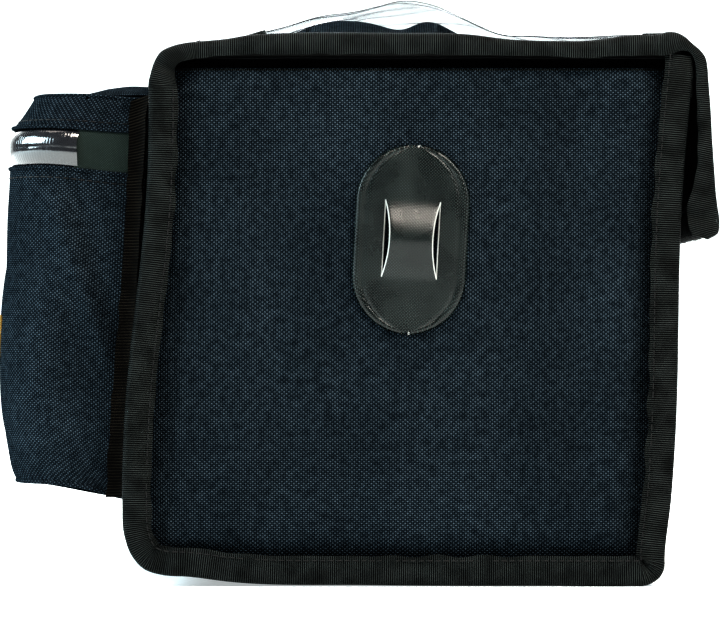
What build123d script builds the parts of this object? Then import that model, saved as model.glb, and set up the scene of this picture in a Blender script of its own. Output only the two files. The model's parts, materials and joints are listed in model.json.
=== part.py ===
from build123d import *
import os

# A box-shaped fabric bag: an open tub with stiffened walls and bound outside seams, a lid that
# folds up from the top of the front wall, a rear flap on the lid, a clear map sleeve on top of
# the lid, a zipped pocket on the front wall, and a lash patch on each side.
#
# Millimetres. +Z is up, +X points to the rear (the flap), -X to the front (the pocket), and Y
# runs across the bag, with the bag's left at -Y. The origin is the centre of the base, on the
# surface that the bag stands on. The soft body leans: its rim stands further back than its base.

# ---- driving dimensions ----
DEPTH = 218.0  # front wall to back wall
RIM = 208.0  # height of the tub's rim
LEAN = 11.5  # how much further back the rim stands than the base
SIDE_IN = 129.0  # inner face of each side panel, from the middle
FABRIC = 1.2  # coated outer fabric
BOARD = 1.8  # plastic stiffener of the front and back walls
BASE_BOARD = 2.4
FOAM = 3.0  # foam of the side walls
LINING = 0.8
TAPE = 11.5  # showing width of the folded binding tape
SEAM = 4.0  # thickness of a bound seam
TAPE_T = 1.0  # thickness of a single layer of tape
GAP = 0.4  # clearance between pieces that move apart
BOARDS_BELOW_RIM = 4.0
SEAM_CORNER = 8.0  # radius of the bound seam's lower corners
CLOSURE_HALF, CLOSURE_T = 60.0, 1.5  # the hook and the loop strip, half their length
LOOP_LOW, LOOP_HIGH = 148.0, 173.0

# lid and rear flap
LID_UNDER = 212.2  # underside of the lid
LID_SIDE = 130.4  # half width of the lid without its binding
LID_TAPE_LOW, LID_TAPE_HIGH = 209.6, 219.4
HINGE_X_IN = 2.4  # the lid's fold line, in from the front wall's outer face
HINGE_Z = 210.4
LID_FOLD_R = 2.0
LID_FOLD_GAP = 1.0  # lets the lid's stiffener fold right over without meeting the front wall
LID_TAPE_REAR_GAP = 3.9  # from the end of the lid's side binding to the flap's fold line
LID_REAR_GAP = 1.2  # from the lid to the flap's rolled fold
BOARD_MARGIN = 4.0  # the lid's and the flap's stiffeners end this far inside their fabric
FLAP_FOLD_R = 1.8
FLAP_X, FLAP_Z = 123.6, 212.5  # fold line between lid and flap
FLAP_LENGTH = 72.0
FLAP_TILT = 4.0  # degrees that the flap hangs out from the vertical
FLAP_BOARD = 1.5
FLAP_TAPE_HALF = 2.6  # half thickness of the flap's bound side edges
FLAP_TOP_GAP = 0.5  # between the rolled fold and the flap's fabric
FLAP_BOARD_DROP = 3.0  # from the top of the flap's fabric to its stiffener
HEM_FILL = 5.0  # how far the flap's layers stop above the outside of its hem
HOOK_HIGH = 22.0  # height of the hook strip inside the flap
HOOK_OVER_HEM = 0.5

# map sleeve
SLEEVE_FRONT, SLEEVE_REAR = -50.0, 100.0  # the clear sheet between its two tapes
ARCH_REAR = 48.0  # the sheet bows up from its front tape to here, and lies flat behind
SLEEVE_RISE_LEFT, SLEEVE_RISE_RIGHT = 19.0, 1.5  # its arch at the open and at the sewn end
SLEEVE_LEFT, SLEEVE_RIGHT = -130.0, 128.0
SHEET = 0.8
SLEEVE_TAPE = 10.0

# front pocket
POCKET_FRONT = -158.0
POCKET_HALF = 112.0
POCKET_CORNER = 30.0
POCKET_WALL = 2.0
POCKET_LOW, POCKET_HIGH = 36.0, 197.5
POCKET_SHEET = 1.5  # the pocket's base and top panels
ZIP_LOW, ZIP_HIGH = 168.5, 184.5  # the window between the turned fabric edges
ZIP_MID = (ZIP_LOW + ZIP_HIGH) / 2
ZIP_SLIT = 1.8  # gap between the two rows, where the slider's neck runs
ZIP_TAPE_OUT, ZIP_TAPE_IN = 0.6, 1.4  # the zip tape's faces, in from the pocket's outside
COIL_IN = 3.0
COIL_Z = 1.0
ZIP_LEFT_END = -129.0  # the rows start here on the left side
ZIP_RIGHT_END = 80.0  # and end here on the front, at the garage
END_TAB_PROUD = 0.4  # the tab and the garage cover the zip tape's ends
EDGE_TAPE = 9.0
EDGE_TAPE_T = 1.5
LABEL_HALF, LABEL_LOW, LABEL_HIGH = 60.0, 87.0, 109.0

# slider and its pull
SLIDER_Y = 70.0
SLIDER_LENGTH = 11.0
SLIDER_HIGH = 7.5
SLIDER_ROUND = 2.5
SLIDER_GAP = 0.3  # running clearance to the zip
PLATE = 1.2
NECK_LOW, NECK_HIGH = -1.5, 2.5  # the neck's ends, from the middle of the slider
BAIL_AIR = 0.5  # between the pull's eye and the outer plate
BAR_R = 0.7
POST_IN, POST_OUT = 2.8, 4.0  # the bail's two posts, from the middle of the slider
EYE_R = 1.9
EYE_BORE = 1.0
EYE_LENGTH = 4.4
PULL_LENGTH, PULL_WIDTH, PULL_T = 27.0, 7.0, 1.6
PULL_CORNER = 2.0
GRIP_HOLE_R, GRIP_HOLE_UP = 1.6, 4.5  # the hole near the pull's free end

# lash patches
PATCH_X, PATCH_Z = 7.6, 139.0
PATCH_WIDTH, PATCH_HEIGHT, PATCH_T = 44.4, 74.0, 1.2
BAND_WIDTH, BAND_LENGTH, BAND_RISE = 17.0, 32.0, 7.0
BAND_FOOT = 3.0  # how much of the band lies flat at each end
WINDOW_WIDTH = 21.0

SIDE_OUT = SIDE_IN + FABRIC
SEAM_OUT = SIDE_OUT + SEAM
FRONT, BACK = -DEPTH / 2, DEPTH / 2
FAR = 400.0  # larger than anything here


def lean(z):
    return LEAN * z / RIM


def front_x(z):
    return FRONT + lean(z)


def back_x(z):
    return BACK + lean(z)


def prism(outline, y_low, y_high, corners=0.0):
    """A face with this (x, z) outline, pushed through from y_low to y_high."""
    face = make_face(Polyline(*outline, close=True))
    if corners:
        lowest = [v for v in face.vertices() if v.Y < 1.0]
        face = fillet(lowest, corners)
    return extrude(Plane.XZ.offset(-y_high) * face, y_high - y_low)


def wall(x_in_front, x_in_back, z_low, z_high):
    """The leaning tub's outline between two heights, drawn in from the front and the back wall."""
    return [
        (front_x(z_low) + x_in_front, z_low),
        (back_x(z_low) - x_in_back, z_low),
        (back_x(z_high) - x_in_back, z_high),
        (front_x(z_high) + x_in_front, z_high),
    ]


def front_layer(x_in, thickness, z_low, z_high):
    """A sheet along the front wall; a negative x_in puts it outside."""
    return [
        (front_x(z_low) + x_in, z_low),
        (front_x(z_low) + x_in + thickness, z_low),
        (front_x(z_high) + x_in + thickness, z_high),
        (front_x(z_high) + x_in, z_high),
    ]


def back_layer(x_in, thickness, z_low, z_high):
    """A sheet along the back wall; a negative x_in puts it outside."""
    return [
        (back_x(z_low) - x_in - thickness, z_low),
        (back_x(z_low) - x_in, z_low),
        (back_x(z_high) - x_in, z_high),
        (back_x(z_high) - x_in - thickness, z_high),
    ]


def block(x_low, x_high, y_low, y_high, z_low, z_high):
    size = (x_high - x_low, y_high - y_low, z_high - z_low)
    centre = ((x_low + x_high) / 2, (y_low + y_high) / 2, (z_low + z_high) / 2)
    return Pos(*centre) * Box(*size)


def rod_along_y(x, z, radius, half_length):
    return Pos(x, 0, z) * Rot(90, 0, 0) * Cylinder(radius, 2 * half_length)


def both_sides(shape):
    """The left piece as drawn, and the right piece as its mirror image."""
    return shape, mirror(shape, about=Plane.XZ)


nodes = {}


def add_pair(name, left_shape):
    nodes["left_" + name], nodes["right_" + name] = both_sides(left_shape)


# ---- tub: outer fabric ----
def tub_fabric():
    nodes["base_panel"] = block(FRONT, BACK, -SIDE_IN, SIDE_IN, 0, FABRIC)
    nodes["front_panel"] = prism(front_layer(0, FABRIC, FABRIC, RIM), -SIDE_IN, SIDE_IN)
    nodes["back_panel"] = prism(back_layer(0, FABRIC, FABRIC, RIM), -SIDE_IN, SIDE_IN)
    add_pair("side_panel", prism(wall(0, 0, 0, RIM), -SIDE_OUT, -SIDE_IN))


# ---- tub: stiffeners and lining ----
def tub_inside():
    foam_in = SIDE_IN - FOAM
    floor = FABRIC + BASE_BOARD
    nodes["base_board"] = block(
        FRONT + FABRIC + GAP, BACK - FABRIC, -foam_in, foam_in, FABRIC, floor
    )
    board_top = RIM - BOARDS_BELOW_RIM
    nodes["front_board"] = prism(
        front_layer(FABRIC, BOARD, floor, board_top), -foam_in, foam_in
    )
    nodes["back_board"] = prism(back_layer(FABRIC, BOARD, floor, board_top), -foam_in, foam_in)
    foam = prism(wall(FABRIC, FABRIC, FABRIC, board_top), -SIDE_IN, -foam_in)
    add_pair("side_foam", foam)
    layers = FABRIC + BOARD
    outside = prism(wall(layers, layers, floor, RIM), -foam_in, foam_in)
    inner = layers + LINING
    half = foam_in - LINING
    hollow = prism(wall(inner, inner, floor + LINING, RIM + 1), -half, half)
    nodes["main_lining"] = outside - hollow


# ---- tub: bindings ----
def tub_bindings():
    ring = prism(wall(0, 0, 0, RIM), -SEAM_OUT, -SIDE_OUT, corners=SEAM_CORNER)
    opening = prism(wall(TAPE, TAPE, TAPE, RIM + 1), -SEAM_OUT - 1, -SIDE_OUT + 1)
    add_pair("seam_binding", ring - opening)

    # the side mouth bindings cap the rim and turn down inside it
    leg_low = RIM - TAPE
    ends = TAPE + GAP
    half = SIDE_IN - FOAM - LINING
    inner_leg = prism(wall(ends, ends, leg_low, RIM), -half, -half + TAPE_T)
    cap = prism(wall(ends, ends, RIM, RIM + FABRIC), -SIDE_OUT, -half + TAPE_T)
    add_pair("mouth_binding", inner_leg + cap)

    # the back one straddles the rim, and stops short of the side ones
    stack = FABRIC + BOARD + LINING
    reach = half - 2 * TAPE_T
    outside = prism(back_layer(-TAPE_T, TAPE_T, leg_low, RIM), -reach, reach)
    inside = prism(back_layer(stack, TAPE_T, leg_low, RIM), -reach, reach)
    over_rim = back_layer(-TAPE_T, stack + 2 * TAPE_T, RIM, RIM + FABRIC)
    nodes["back_mouth_binding"] = outside + inside + prism(over_rim, -reach, reach)


# ---- closure: the loop strip on the back wall ----
def closure_loop():
    strip = back_layer(-CLOSURE_T, CLOSURE_T, LOOP_LOW, LOOP_HIGH)
    nodes["closure_loop_strip"] = prism(strip, -CLOSURE_HALF, CLOSURE_HALF)


# ---- lash patches: a flat patch with two slits, and the band between them arched out ----
def lash_patch():
    outline = SlotOverall(PATCH_HEIGHT, PATCH_WIDTH, rotation=90)
    window = Rectangle(WINDOW_WIDTH, BAND_LENGTH)
    flat = extrude(Plane.XZ.offset(SIDE_OUT) * (outline - window), PATCH_T)

    half = BAND_LENGTH / 2
    radius = (half**2 + BAND_RISE**2) / (2 * BAND_RISE)
    centre_y = -(SIDE_OUT + BAND_RISE - radius)  # along -Y, so the arch bulges outwards
    outer = Rot(0, 90, 0) * Cylinder(radius, BAND_WIDTH)
    inner = Rot(0, 90, 0) * Cylinder(radius - PATCH_T, BAND_WIDTH)
    hoop = Pos(0, centre_y, 0) * (outer - inner)
    keep = block(-FAR, FAR, -FAR, -SIDE_OUT, -half - PATCH_T, half + PATCH_T)
    foot = block(
        -BAND_WIDTH / 2, BAND_WIDTH / 2, -SIDE_OUT - PATCH_T, -SIDE_OUT, half - BAND_FOOT, half
    )
    feet = foot + mirror(foot, about=Plane.XY)
    patch = flat + (hoop & keep) + feet
    add_pair("lash_patch", Pos(PATCH_X, 0, PATCH_Z) * patch)


# ---- front pocket ----
def pocket_plan(inset):
    """The pocket's plan, drawn in by inset, and run back into the tub."""
    half = POCKET_HALF - inset
    face = Pos((POCKET_FRONT + inset) / 2, 0) * Rectangle(
        -(POCKET_FRONT + inset), 2 * half
    )
    front_corners = [v for v in face.vertices() if v.X < POCKET_FRONT / 2]
    return fillet(front_corners, POCKET_CORNER - inset)


def tub_block():
    """All that lies behind the front wall's outer face."""
    high = POCKET_HIGH + RIM
    outline = [(front_x(0), 0), (FAR, 0), (FAR, high), (front_x(high), high)]
    return prism(outline, -FAR, FAR)


def pocket_band(outer, inner, z_low, z_high):
    ring = pocket_plan(outer) - pocket_plan(inner)
    return extrude(Pos(0, 0, z_low) * ring, z_high - z_low) - tub_block()


def pocket_lid_or_base(inset, z_low, z_high):
    return extrude(Pos(0, 0, z_low) * pocket_plan(inset), z_high - z_low) - tub_block()


def pocket():
    nodes["pocket_wrap"] = pocket_band(0, POCKET_WALL, POCKET_LOW, ZIP_LOW)
    nodes["pocket_base"] = pocket_lid_or_base(
        POCKET_WALL, POCKET_LOW, POCKET_LOW + POCKET_SHEET
    )
    hood_top = POCKET_HIGH - POCKET_SHEET
    nodes["pocket_hood_band"] = pocket_band(0, POCKET_WALL, ZIP_HIGH, hood_top)
    nodes["pocket_top_panel"] = pocket_lid_or_base(0, hood_top, POCKET_HIGH)

    rows = block(-FAR, ZIP_LEFT_END, -FAR, ZIP_RIGHT_END, 0, FAR)
    slit = ZIP_SLIT / 2
    lower = pocket_band(ZIP_TAPE_OUT, ZIP_TAPE_IN, ZIP_LOW, ZIP_MID - slit)
    upper = pocket_band(ZIP_TAPE_OUT, ZIP_TAPE_IN, ZIP_MID + slit, ZIP_HIGH)
    nodes["zip_lower_tape"] = lower & rows
    nodes["zip_upper_tape"] = upper & rows
    coil_low = pocket_band(ZIP_TAPE_IN, COIL_IN, ZIP_MID - slit - COIL_Z, ZIP_MID - slit)
    coil_high = pocket_band(ZIP_TAPE_IN, COIL_IN, ZIP_MID + slit, ZIP_MID + slit + COIL_Z)
    nodes["zip_lower_coil"] = coil_low & rows
    nodes["zip_upper_coil"] = coil_high & rows

    tab = pocket_band(ZIP_TAPE_OUT - END_TAB_PROUD, ZIP_TAPE_IN, ZIP_LOW, ZIP_HIGH)
    nodes["left_zip_end_tab"] = tab & block(ZIP_LEFT_END, 0, -FAR, 0, 0, FAR)
    nodes["right_zip_garage"] = tab & block(-FAR, 0, ZIP_RIGHT_END, FAR, 0, FAR)

    edge = front_layer(-EDGE_TAPE, EDGE_TAPE, POCKET_LOW, POCKET_HIGH)
    add_pair("pocket_edge_tape", prism(edge, -POCKET_HALF - EDGE_TAPE_T, -POCKET_HALF))
    nodes["front_label"] = block(
        POCKET_FRONT - TAPE_T, POCKET_FRONT, -LABEL_HALF, LABEL_HALF, LABEL_LOW, LABEL_HIGH
    )


# ---- slider: an outer and an inner plate on one neck, and a bail that holds the pull ----
def plate_out():
    """Inner face of the slider's outer plate, just clear of the zip tape."""
    return POCKET_FRONT + ZIP_TAPE_OUT - SLIDER_GAP


def bail_x():
    """The bail's bar stands off far enough for the pull's eye to turn on it."""
    return plate_out() - PLATE - BAIL_AIR - EYE_R


def slider():
    half, high = SLIDER_LENGTH / 2, SLIDER_HIGH / 2
    plate_in = POCKET_FRONT + COIL_IN + SLIDER_GAP

    def plate(x_low):
        blank = block(x_low, x_low + PLATE, -half, half, -high, high)
        return fillet(blank.edges().filter_by(Axis.X), SLIDER_ROUND)

    neck_z = ZIP_SLIT / 2 - SLIDER_GAP
    neck = block(plate_out(), plate_in, NECK_LOW, NECK_HIGH, -neck_z, neck_z)
    bar = rod_along_y(bail_x(), 0, BAR_R, POST_OUT)
    post = block(bail_x(), plate_out() - PLATE, -POST_OUT, -POST_IN, -BAR_R, BAR_R)
    body = plate(plate_out() - PLATE) + plate(plate_in) + neck
    body += bar + post + mirror(post, about=Plane.XZ)
    nodes["zip_slider"] = Pos(0, SLIDER_Y, ZIP_MID) * body


def pull():
    blade_top = -EYE_BORE - SLIDER_GAP
    eye = Rot(90, 0, 0) * (Cylinder(EYE_R, EYE_LENGTH) - Cylinder(EYE_BORE, EYE_LENGTH))
    outline = Pos(0, blade_top - PULL_LENGTH / 2) * RectangleRounded(
        PULL_WIDTH, PULL_LENGTH, PULL_CORNER
    )
    blade = extrude(Plane.YZ * outline, PULL_T / 2, both=True)
    hole = Rot(0, 90, 0) * Cylinder(GRIP_HOLE_R, 3 * PULL_T)
    hole = Pos(0, 0, blade_top - PULL_LENGTH + GRIP_HOLE_UP) * hole
    nodes["zip_pull"] = Pos(bail_x(), SLIDER_Y, ZIP_MID) * (eye + blade - hole)


# ---- lid ----
def hinge_x():
    return front_x(RIM) + HINGE_X_IN


def lid():
    lid_front = hinge_x() + LID_FOLD_R + LID_FOLD_GAP
    lid_rear = FLAP_X - FLAP_FOLD_R - LID_REAR_GAP
    lining_top = LID_UNDER + LINING
    board_top = lining_top + BOARD
    lid_top = board_top + FABRIC
    nodes["lid_lining"] = block(
        lid_front, lid_rear, -LID_SIDE, LID_SIDE, LID_UNDER, lining_top
    )
    board_half = LID_SIDE - BOARD_MARGIN
    nodes["lid_board"] = block(
        lid_front + BOARD_MARGIN,
        lid_rear - BOARD_MARGIN,
        -board_half,
        board_half,
        lining_top,
        board_top,
    )
    nodes["lid_panel"] = block(lid_front, lid_rear, -LID_SIDE, LID_SIDE, board_top, lid_top)
    binding = block(
        lid_front,
        FLAP_X - LID_TAPE_REAR_GAP,
        -LID_SIDE - SEAM,
        -LID_SIDE,
        LID_TAPE_LOW,
        LID_TAPE_HIGH,
    )
    add_pair("lid_binding", binding)

    # the two folds are rolled fabric: one stands on the front wall, one hangs off the lid
    fold = rod_along_y(hinge_x(), HINGE_Z, LID_FOLD_R, SIDE_IN)
    front_edge = prism(front_layer(0, FABRIC, RIM, HINGE_Z), -SIDE_IN, SIDE_IN)
    nodes["lid_fold"] = fold + front_edge
    rear_web = block(lid_rear, FLAP_X, -LID_SIDE, LID_SIDE, LID_UNDER, LID_UNDER + FABRIC)
    nodes["flap_fold"] = rod_along_y(FLAP_X, FLAP_Z, FLAP_FOLD_R, LID_SIDE) + rear_web
    return lid_top


# ---- map sleeve: a clear sheet, open at the left, sewn flat at the right ----
def arch_face(y, rise, base):
    """The bowed part of the clear sheet in section, at one place across the lid."""
    mid = (SLEEVE_FRONT + ARCH_REAR) / 2
    top = base + SHEET
    outer = ThreePointArc((SLEEVE_FRONT, top), (mid, base + rise), (ARCH_REAR, top))
    inner = ThreePointArc((ARCH_REAR, base), (mid, base + rise - SHEET), (SLEEVE_FRONT, base))
    ends = [
        Line((ARCH_REAR, top), (ARCH_REAR, base)),
        Line((SLEEVE_FRONT, base), (SLEEVE_FRONT, top)),
    ]
    return Plane.XZ.offset(-y) * make_face([outer, inner, *ends])


def map_sleeve(lid_top):
    left = arch_face(SLEEVE_LEFT, SLEEVE_RISE_LEFT, lid_top)
    right = arch_face(SLEEVE_RIGHT, SLEEVE_RISE_RIGHT, lid_top)
    sheet = loft([left, right])
    front_hem, rear_hem = SLEEVE_FRONT - SLEEVE_TAPE, SLEEVE_REAR + SLEEVE_TAPE
    tape_low = lid_top + SHEET
    for low, high in ((front_hem, SLEEVE_FRONT), (ARCH_REAR, rear_hem)):
        sheet += block(low, high, SLEEVE_LEFT, SLEEVE_RIGHT, lid_top, tape_low)
    nodes["map_window"] = sheet
    for name, low, high in (
        ("map_front_tape", front_hem, SLEEVE_FRONT - GAP),
        ("map_rear_tape", SLEEVE_REAR, rear_hem),
    ):
        nodes[name] = block(low, high, -LID_SIDE, LID_SIDE, tape_low, tape_low + TAPE_T)


# ---- rear flap, drawn hanging straight down from its fold and then tilted out ----
def flap():
    half_stack = (FABRIC + FLAP_BOARD + LINING) / 2
    lining_out = -half_stack + LINING
    top, low = -FLAP_FOLD_R - FLAP_TOP_GAP, -FLAP_LENGTH + HEM_FILL
    tape_low, tape_top = -FLAP_LENGTH, -FLAP_LENGTH + TAPE

    def sheet(x_low, x_high, z_low, z_high, side=LID_SIDE):
        return block(x_low, x_high, -side, side, z_low, z_high)

    side_tape = block(
        -FLAP_TAPE_HALF, FLAP_TAPE_HALF, -LID_SIDE - SEAM, -LID_SIDE, tape_low, top
    )
    hem = sheet(-half_stack - TAPE_T, half_stack + TAPE_T, tape_low, tape_top)
    hem -= sheet(-half_stack, half_stack, low, tape_top)
    hook_low = tape_top + HOOK_OVER_HEM
    hanging = {
        "flap_panel": sheet(half_stack - FABRIC, half_stack, low, top),
        "flap_board": sheet(
            lining_out,
            half_stack - FABRIC,
            tape_top,
            top - FLAP_BOARD_DROP,
            LID_SIDE - BOARD_MARGIN,
        ),
        "flap_lining": sheet(-half_stack, lining_out, low, top),
        "flap_binding": side_tape + mirror(side_tape, about=Plane.XZ) + hem,
        "closure_hook_strip": sheet(
            -half_stack - CLOSURE_T, -half_stack, hook_low, hook_low + HOOK_HIGH, CLOSURE_HALF
        ),
    }
    for name, shape in hanging.items():
        nodes[name] = Pos(FLAP_X, 0, FLAP_Z) * Rot(0, -FLAP_TILT, 0) * shape


tub_fabric()
tub_inside()
tub_bindings()
closure_loop()
lash_patch()
pocket()
slider()
pull()
map_sleeve(lid())
flap()

os.makedirs("parts", exist_ok=True)
for name, shape in nodes.items():
    export_step(shape, f"parts/{name}.step")
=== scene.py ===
"""The looks of a soft box bag: stiffened tub, lid with a clear map sleeve, rear flap and zipped pocket.

Metres, in the CAD's frame: +Z up, -X the pocket, +X the flap, and the bag's left side at -Y.
Measures marked mm are millimetres, and MM turns them into metres.
"""
import json
import math

import bmesh
import bpy
import numpy as np
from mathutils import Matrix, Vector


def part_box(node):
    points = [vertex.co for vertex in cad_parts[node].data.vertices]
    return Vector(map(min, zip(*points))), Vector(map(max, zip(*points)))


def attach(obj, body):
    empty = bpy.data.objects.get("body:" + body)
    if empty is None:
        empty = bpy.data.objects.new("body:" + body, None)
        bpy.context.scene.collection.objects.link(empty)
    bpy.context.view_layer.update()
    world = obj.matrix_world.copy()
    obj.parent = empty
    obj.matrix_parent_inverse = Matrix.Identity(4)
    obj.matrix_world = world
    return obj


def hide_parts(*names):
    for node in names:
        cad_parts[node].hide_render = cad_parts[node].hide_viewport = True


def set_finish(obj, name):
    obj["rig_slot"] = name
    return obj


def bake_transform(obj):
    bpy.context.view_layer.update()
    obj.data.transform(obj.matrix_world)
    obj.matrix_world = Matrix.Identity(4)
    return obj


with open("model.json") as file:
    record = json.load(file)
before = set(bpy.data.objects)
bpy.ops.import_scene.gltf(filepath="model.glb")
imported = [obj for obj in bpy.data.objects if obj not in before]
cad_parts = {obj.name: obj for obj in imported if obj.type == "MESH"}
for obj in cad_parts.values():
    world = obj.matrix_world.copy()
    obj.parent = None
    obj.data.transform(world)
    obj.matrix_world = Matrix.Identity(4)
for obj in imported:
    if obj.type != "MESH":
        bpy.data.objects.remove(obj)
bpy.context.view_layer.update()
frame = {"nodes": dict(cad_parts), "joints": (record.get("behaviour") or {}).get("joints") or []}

MM = 0.001
LEFT, RIGHT = -1, 1
WORD = {LEFT: "left", RIGHT: "right"}

# ---- dimensions read from the frame ----
FRONT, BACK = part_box("base_panel")[0].x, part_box("base_panel")[1].x
SIDE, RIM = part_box("right_side_panel")[1].y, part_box("right_side_panel")[1].z
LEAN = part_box("right_side_panel")[1].x - BACK
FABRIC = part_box("base_panel")[1].z
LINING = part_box("lid_lining")[1].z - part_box("lid_lining")[0].z
LID_UNDER, LID_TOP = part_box("lid_lining")[0].z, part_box("lid_panel")[1].z
LID_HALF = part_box("lid_panel")[1].y
LID_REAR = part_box("lid_panel")[1].x
JOINT = {j["name"]: j for j in frame["joints"]}
HINGE_X, _, HINGE_Z = JOINT["lid_hinge"]["pos_m"]
FLAP_X, _, FLAP_Z = JOINT["flap_hinge"]["pos_m"]
POCKET_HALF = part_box("pocket_wrap")[1].y
POCKET_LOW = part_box("pocket_base")[0].z
ZIP_LOW, ZIP_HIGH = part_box("zip_lower_tape")[0].z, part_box("zip_upper_tape")[1].z
POCKET_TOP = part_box("pocket_top_panel")[1].z
ZIP_LEFT_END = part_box("zip_lower_tape")[1].x
ZIP_RIGHT_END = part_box("right_zip_garage")[0].y
PATCH_LOW, PATCH_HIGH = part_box("left_lash_patch")
PATCH_X, PATCH_Z = (PATCH_LOW.x + PATCH_HIGH.x) / 2, (PATCH_LOW.z + PATCH_HIGH.z) / 2
SLEEVE_FRONT, SLEEVE_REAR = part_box("map_window")[0].x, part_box("map_window")[1].x
LABEL_LOW, LABEL_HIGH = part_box("front_label")

# ---- yarns and tapes (mm) ----
WARP, WEFT = 0.97, 0.80  # between the yarns of the outer fabric
RIB = 0.86  # between the ribs of the binding tape
TAPE_WIDTH = 11.5
STITCH, STITCH_GAP, THREAD = 2.4, 0.9, 0.26  # a stitch's length, the gap after it, its half width
SHARP = math.radians(55)  # edges sharper than this are not smoothed


# ---- thicknesses (mm) ----
BOARD_THICK, FOAM_THICK, LINING_THICK = 1.0, 2.2, 0.5
FILM_THICK, MAP_TAPE_THICK, STRIP_THICK, LABEL_THICK = 0.35, 1.5, 1.2, 0.8
WRAP_THICK, HOOD_THICK, COVER_THICK, ZIP_THICK, TAB_THICK, WEBBING_THICK = 1.6, 1.4, 1.2, 0.5, 1.0, 1.2


# ---- small mathematics ----
def ease(t):
    t = np.clip(t, 0.0, 1.0)
    return t * t * (3 - 2 * t)


def arch(t, power=1.0):
    """0 at both ends and 1 in the middle; a low power makes it a plateau."""
    return np.sin(np.pi * np.clip(t, 0.0, 1.0)) ** power


def bump_at(x, y, x_mid, y_mid, x_wide, y_wide):
    return np.exp(-(((x - x_mid) / x_wide) ** 2) - ((y - y_mid) / y_wide) ** 2)


def through(knots, at):
    """A smooth curve through knots, each (parameter, value, ...), read at these parameters."""
    knots = np.asarray(knots, float)
    t, values = knots[:, 0], knots[:, 1:]
    slopes = np.gradient(values, t, axis=0)
    at = np.clip(np.asarray(at, float), t[0], t[-1])
    k = np.clip(np.searchsorted(t, at, side="right") - 1, 0, len(t) - 2)
    span = (t[k + 1] - t[k])[..., None]
    s = (at - t[k])[..., None] / span
    out = (
        (2 * s**3 - 3 * s**2 + 1) * values[k]
        + (s**3 - 2 * s**2 + s) * span * slopes[k]
        + (3 * s**2 - 2 * s**3) * values[k + 1]
        + (s**3 - s**2) * span * slopes[k + 1]
    )
    return out[..., 0] if values.shape[1] == 1 else out


def outline(points, count):
    """count points, evenly spaced, on a smooth curve through these points."""
    points = np.asarray(points, float)
    knots = np.column_stack([travel_along(points), points])
    fine = through(knots, np.linspace(0, knots[-1, 0], count * 8))
    travel = travel_along(fine)
    at = np.linspace(0, travel[-1], count)
    return np.column_stack([np.interp(at, travel, fine[:, k]) for k in range(fine.shape[1])])


def ripple(seed, s, wave):
    """Smooth seeded noise along a line, about -1 to 1, with this wavelength."""
    rng = np.random.default_rng(seed)
    total = np.zeros_like(s)
    for _ in range(5):
        total += np.sin(2 * np.pi * s / (wave * rng.uniform(0.6, 1.9)) + rng.uniform(0, 6.28))
    return total / 3


def crumple(seed, x, y, wave):
    """Smooth seeded noise over a surface, about -1 to 1, with this wavelength."""
    rng = np.random.default_rng(seed)
    total = np.zeros_like(x)
    for _ in range(9):
        turn = rng.uniform(0, 2 * np.pi)
        along = (x * np.cos(turn) + y * np.sin(turn)) / (wave * rng.uniform(0.6, 1.8))
        total += np.sin(2 * np.pi * along + rng.uniform(0, 6.28))
    return total / 4


def grid_of(u_low, u_high, u_count, v_low, v_high, v_count):
    return np.meshgrid(
        np.linspace(u_low, u_high, u_count), np.linspace(v_low, v_high, v_count), indexing="ij"
    )


def unit(vectors):
    return vectors / np.maximum(np.linalg.norm(vectors, axis=-1, keepdims=True), 1e-12)


def stacked(*parts):
    return np.stack(parts, axis=-1)


def travel_along(points):
    """How far each point lies along a line of points."""
    steps = np.linalg.norm(np.diff(points, axis=0), axis=1)
    return np.concatenate([[0], np.cumsum(steps)])


def lengths(grid, axis):
    """How far each row of points is along the grid, the mean over the other direction."""
    steps = np.linalg.norm(np.diff(grid, axis=axis), axis=-1).mean(axis=1 - axis)
    return np.concatenate([[0], np.cumsum(steps)])


# ---- meshes ----
def piece(name, points, faces, uvs, material, slot=None):
    """A mesh object; uvs are metres along the cloth, so that the weave has its real size.

    Its slot has the name of its material unless another is given.
    """
    mesh = bpy.data.meshes.new(name)
    mesh.from_pydata(np.asarray(points).reshape(-1, 3).tolist(), [], faces)
    layer = mesh.uv_layers.new(name="UVMap")
    layer.data.foreach_set("uv", np.asarray(uvs, np.float32).ravel())
    mesh.polygons.foreach_set("use_smooth", [True] * len(mesh.polygons))
    mesh.set_sharp_from_angle(angle=SHARP)
    materials = material if isinstance(material, list) else [material]
    for one in materials:
        mesh.materials.append(one)
    made = bpy.data.objects.new(name, mesh)
    bpy.context.scene.collection.objects.link(made)
    # Blender adds a number to a name that one of the frame's own materials has
    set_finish(made, slot or materials[0].name.split(".")[0])
    return made


def settle(made, body, *nodes):
    """Rides a piece on a body and lets it stand for these CAD nodes."""
    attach(made, body)
    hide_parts(*nodes)


def facing_out(points, faces, uvs):
    """The faces, turned over if the closed mesh is inside out."""
    flat = np.asarray(points).reshape(-1, 3)
    centre = flat.mean(axis=0)
    volume = 0.0
    for face in faces:
        a, b, c = flat[face[0]] - centre, flat[face[1]] - centre, flat[face[2]] - centre
        volume += a.dot(np.cross(b, c))
        if len(face) == 4:
            volume += a.dot(np.cross(c, flat[face[3]] - centre))
    if volume >= 0:
        return faces, [uv for group in uvs for uv in group]
    turned = [tuple(reversed(face)) for face in faces]
    return turned, [uv for group in uvs for uv in reversed(group)]


def normals_of(grid):
    return unit(np.cross(np.gradient(grid, axis=0), np.gradient(grid, axis=1)))


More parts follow.
